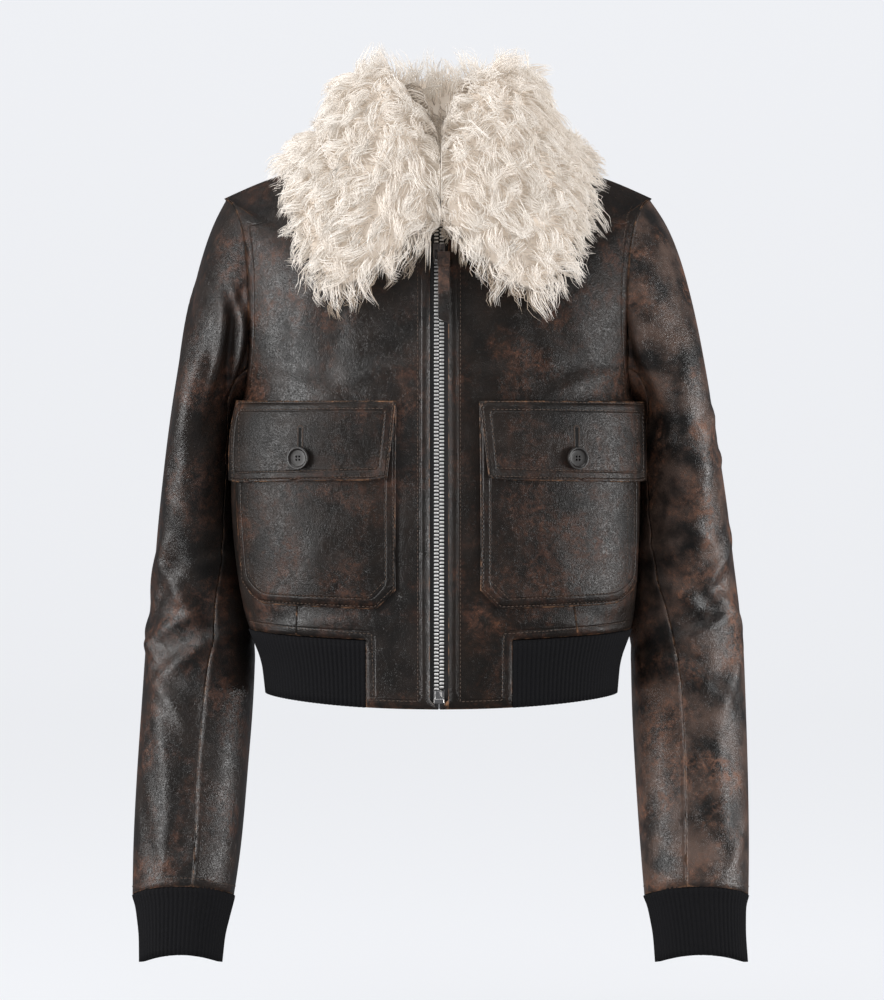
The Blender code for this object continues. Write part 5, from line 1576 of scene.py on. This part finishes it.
back_tree = tree_of([panels["back"]])
back_low = lowest_edge([panels["back"]], (0.0, 0.0))
rows["waist_back"] = ring_row(back_tree, (0.0, 0.0), lambda turn: back_low(turn) + EDGE_ROW, 176, 92)
for hand, side in (("left", 1), ("right", -1)):
    pair = [panels["sleeve_top_" + hand], panels["sleeve_under_" + hand]]
    middle = tuple(arm_folds[hand].axis_points[3])
    cuff_low = lowest_edge(pair, middle)
    rows["cuff_" + hand] = ring_row(tree_of(pair), middle, lambda turn: cuff_low(turn) + EDGE_ROW, out=0.12)
for name, places in rows.items():
    if places:
        dress(stitches("stitches_" + name, places), thread)
print("stitches:", sum(len(places) for places in rows.values()))

# %% [markdown]
# ## Darts
# Below each pocket a short dart takes in the leather above the waistband. Its seam is a narrow
# rubbed welt, made as a strip along a line that is dropped on to the leather.

# %% Darts
DARTS = {"right": ((-0.1195, -0.382), (-0.1203, -0.409)), "left": ((0.1150, -0.382), (0.1186, -0.408))}
DART_HALF = 0.0007          # metres: half the welt's width
DART_LIFT = 0.0005          # and how far it stands off the leather


def low_strip(name, line, half, lift):
    """A narrow strip along a dropped line, a hair above the leather and sunk into it behind."""
    points = []
    for place, normal in line:
        for across, rise in ((-half, lift), (half, lift), (half, -0.0003), (-half, -0.0003)):
            points.append(place + np.array([across, 0, 0]) + normal * rise)
    faces = [(0, 1, 2, 3)]
    for k in range(len(line) - 1):
        faces += [(4 * k + c, 4 * k + 4 + c, 4 * k + 4 + (c + 1) % 4, 4 * k + (c + 1) % 4)
                  for c in range(4)]
    faces.append(tuple(4 * len(line) - 1 - c for c in range(4)))
    return new_piece(name, points, faces)


for hand, corners in DARTS.items():
    line = front_line(tree_of([panels["front_" + hand]]), corners)
    welt = low_strip("dart_" + hand, line, DART_HALF, DART_LIFT)
    keep_value(welt, "from_edge", np.zeros(len(welt.data.vertices)))
    dress(welt, leather_patch)
print("darts:", len(DARTS))

# %% [markdown]
# ## Buttonholes
# The button comes through a keyhole buttonhole: a slit with a round end, bound with close
# stitches. The binding is short stitches that stand across the slit's edge all the way round.

# %% Buttonholes
SLIT_TOP = 0.0240           # metres above the button's middle
SLIT_HALF = 0.0013
EYE_RADIUS = 0.0023         # the round end of the slit


def buttonhole(hand):
    """Places of the bound edge of the slit and its round eye, and the slit's own line."""
    flap = tree_of([panels["flap_" + hand]])
    middle = button_place(hand)[0]
    x = middle[0] + 0.0018 * (1 if hand == "right" else -0.5)
    z_top = middle[2] + SLIT_TOP
    bound = []
    for side in (-1, 1):
        bound += [((x + side * SLIT_HALF * 1.5, z), (side, 0))
                  for z in np.arange(middle[2] + 0.004, z_top, 0.0009)]
    for turn in np.linspace(-0.7, math.pi + 0.7, 13):
        across, up = math.cos(turn), math.sin(turn)
        bound.append(((x + EYE_RADIUS * across, z_top + 0.0012 + EYE_RADIUS * up), (across, up)))
    places = []
    for (px, pz), (wx, wz) in bound:
        for place, normal in dropped(flap, [((px, VIEW_Y, pz), (0, 1, 0))]):
            places.append((place, np.array([wx, 0.0, wz]), normal))
    heights = np.linspace(middle[2] + 0.003, z_top + 0.0015, 12)
    slit = dropped(flap, [((x, VIEW_Y, z), (0, 1, 0)) for z in heights])
    return places, slit


# painted shade: the slit is a black strip laid on the flap for the dark gap of the cut
slit_painted_shade = plain_shader("slit_painted_shade", (0.003, 0.003, 0.003), 0.9)[0]
for hand in ("left", "right"):
    places, slit = buttonhole(hand)
    dress(stitches("buttonhole_bound_" + hand, places, 0.0015, 0.00036), thread)
    dress(low_strip("buttonhole_slit_" + hand, slit, SLIT_HALF, 0.00025), slit_painted_shade)
print("buttonhole stitches:", len(places))

# %% [markdown]
# ## What the cloth was cut to
# The size that each knit strip was cut to before it was sewn is printed beside half of its wall's
# surface, and half of the fur skin's surface is printed too. A cut that isn't a rectangle fills only a
# share of it. The knit and the skin are whole strips.

# %% Cut sizes
KNITS = {"waistband": (0.760, 0.066), "cuff_left": (0.260, 0.065), "cuff_right": (0.260, 0.065)}


def one_side(piece):
    """Half of a wall's surface, which is about the cloth that it takes."""
    return round(sum(face.area for face in piece.data.polygons) / 2, 4)


for name, (wide, long) in KNITS.items():
    print(name, "one side", one_side(ribs[name]), "cut", round(wide * long, 4))
print("fur skin one side", one_side(skin))

# %% [markdown]
# ## Triangles shown
# The dressed jacket may stand a little past the imported model's box, as wool does. The triangles of
# all the pieces that are shown are counted and printed.

# %% Triangles shown


shown = [piece for piece in scene.objects if piece.type == "MESH" and not piece.hide_render]
triangles = sum(len(face.vertices) - 2 for piece in shown for face in piece.data.polygons)
print("triangles shown:", triangles)
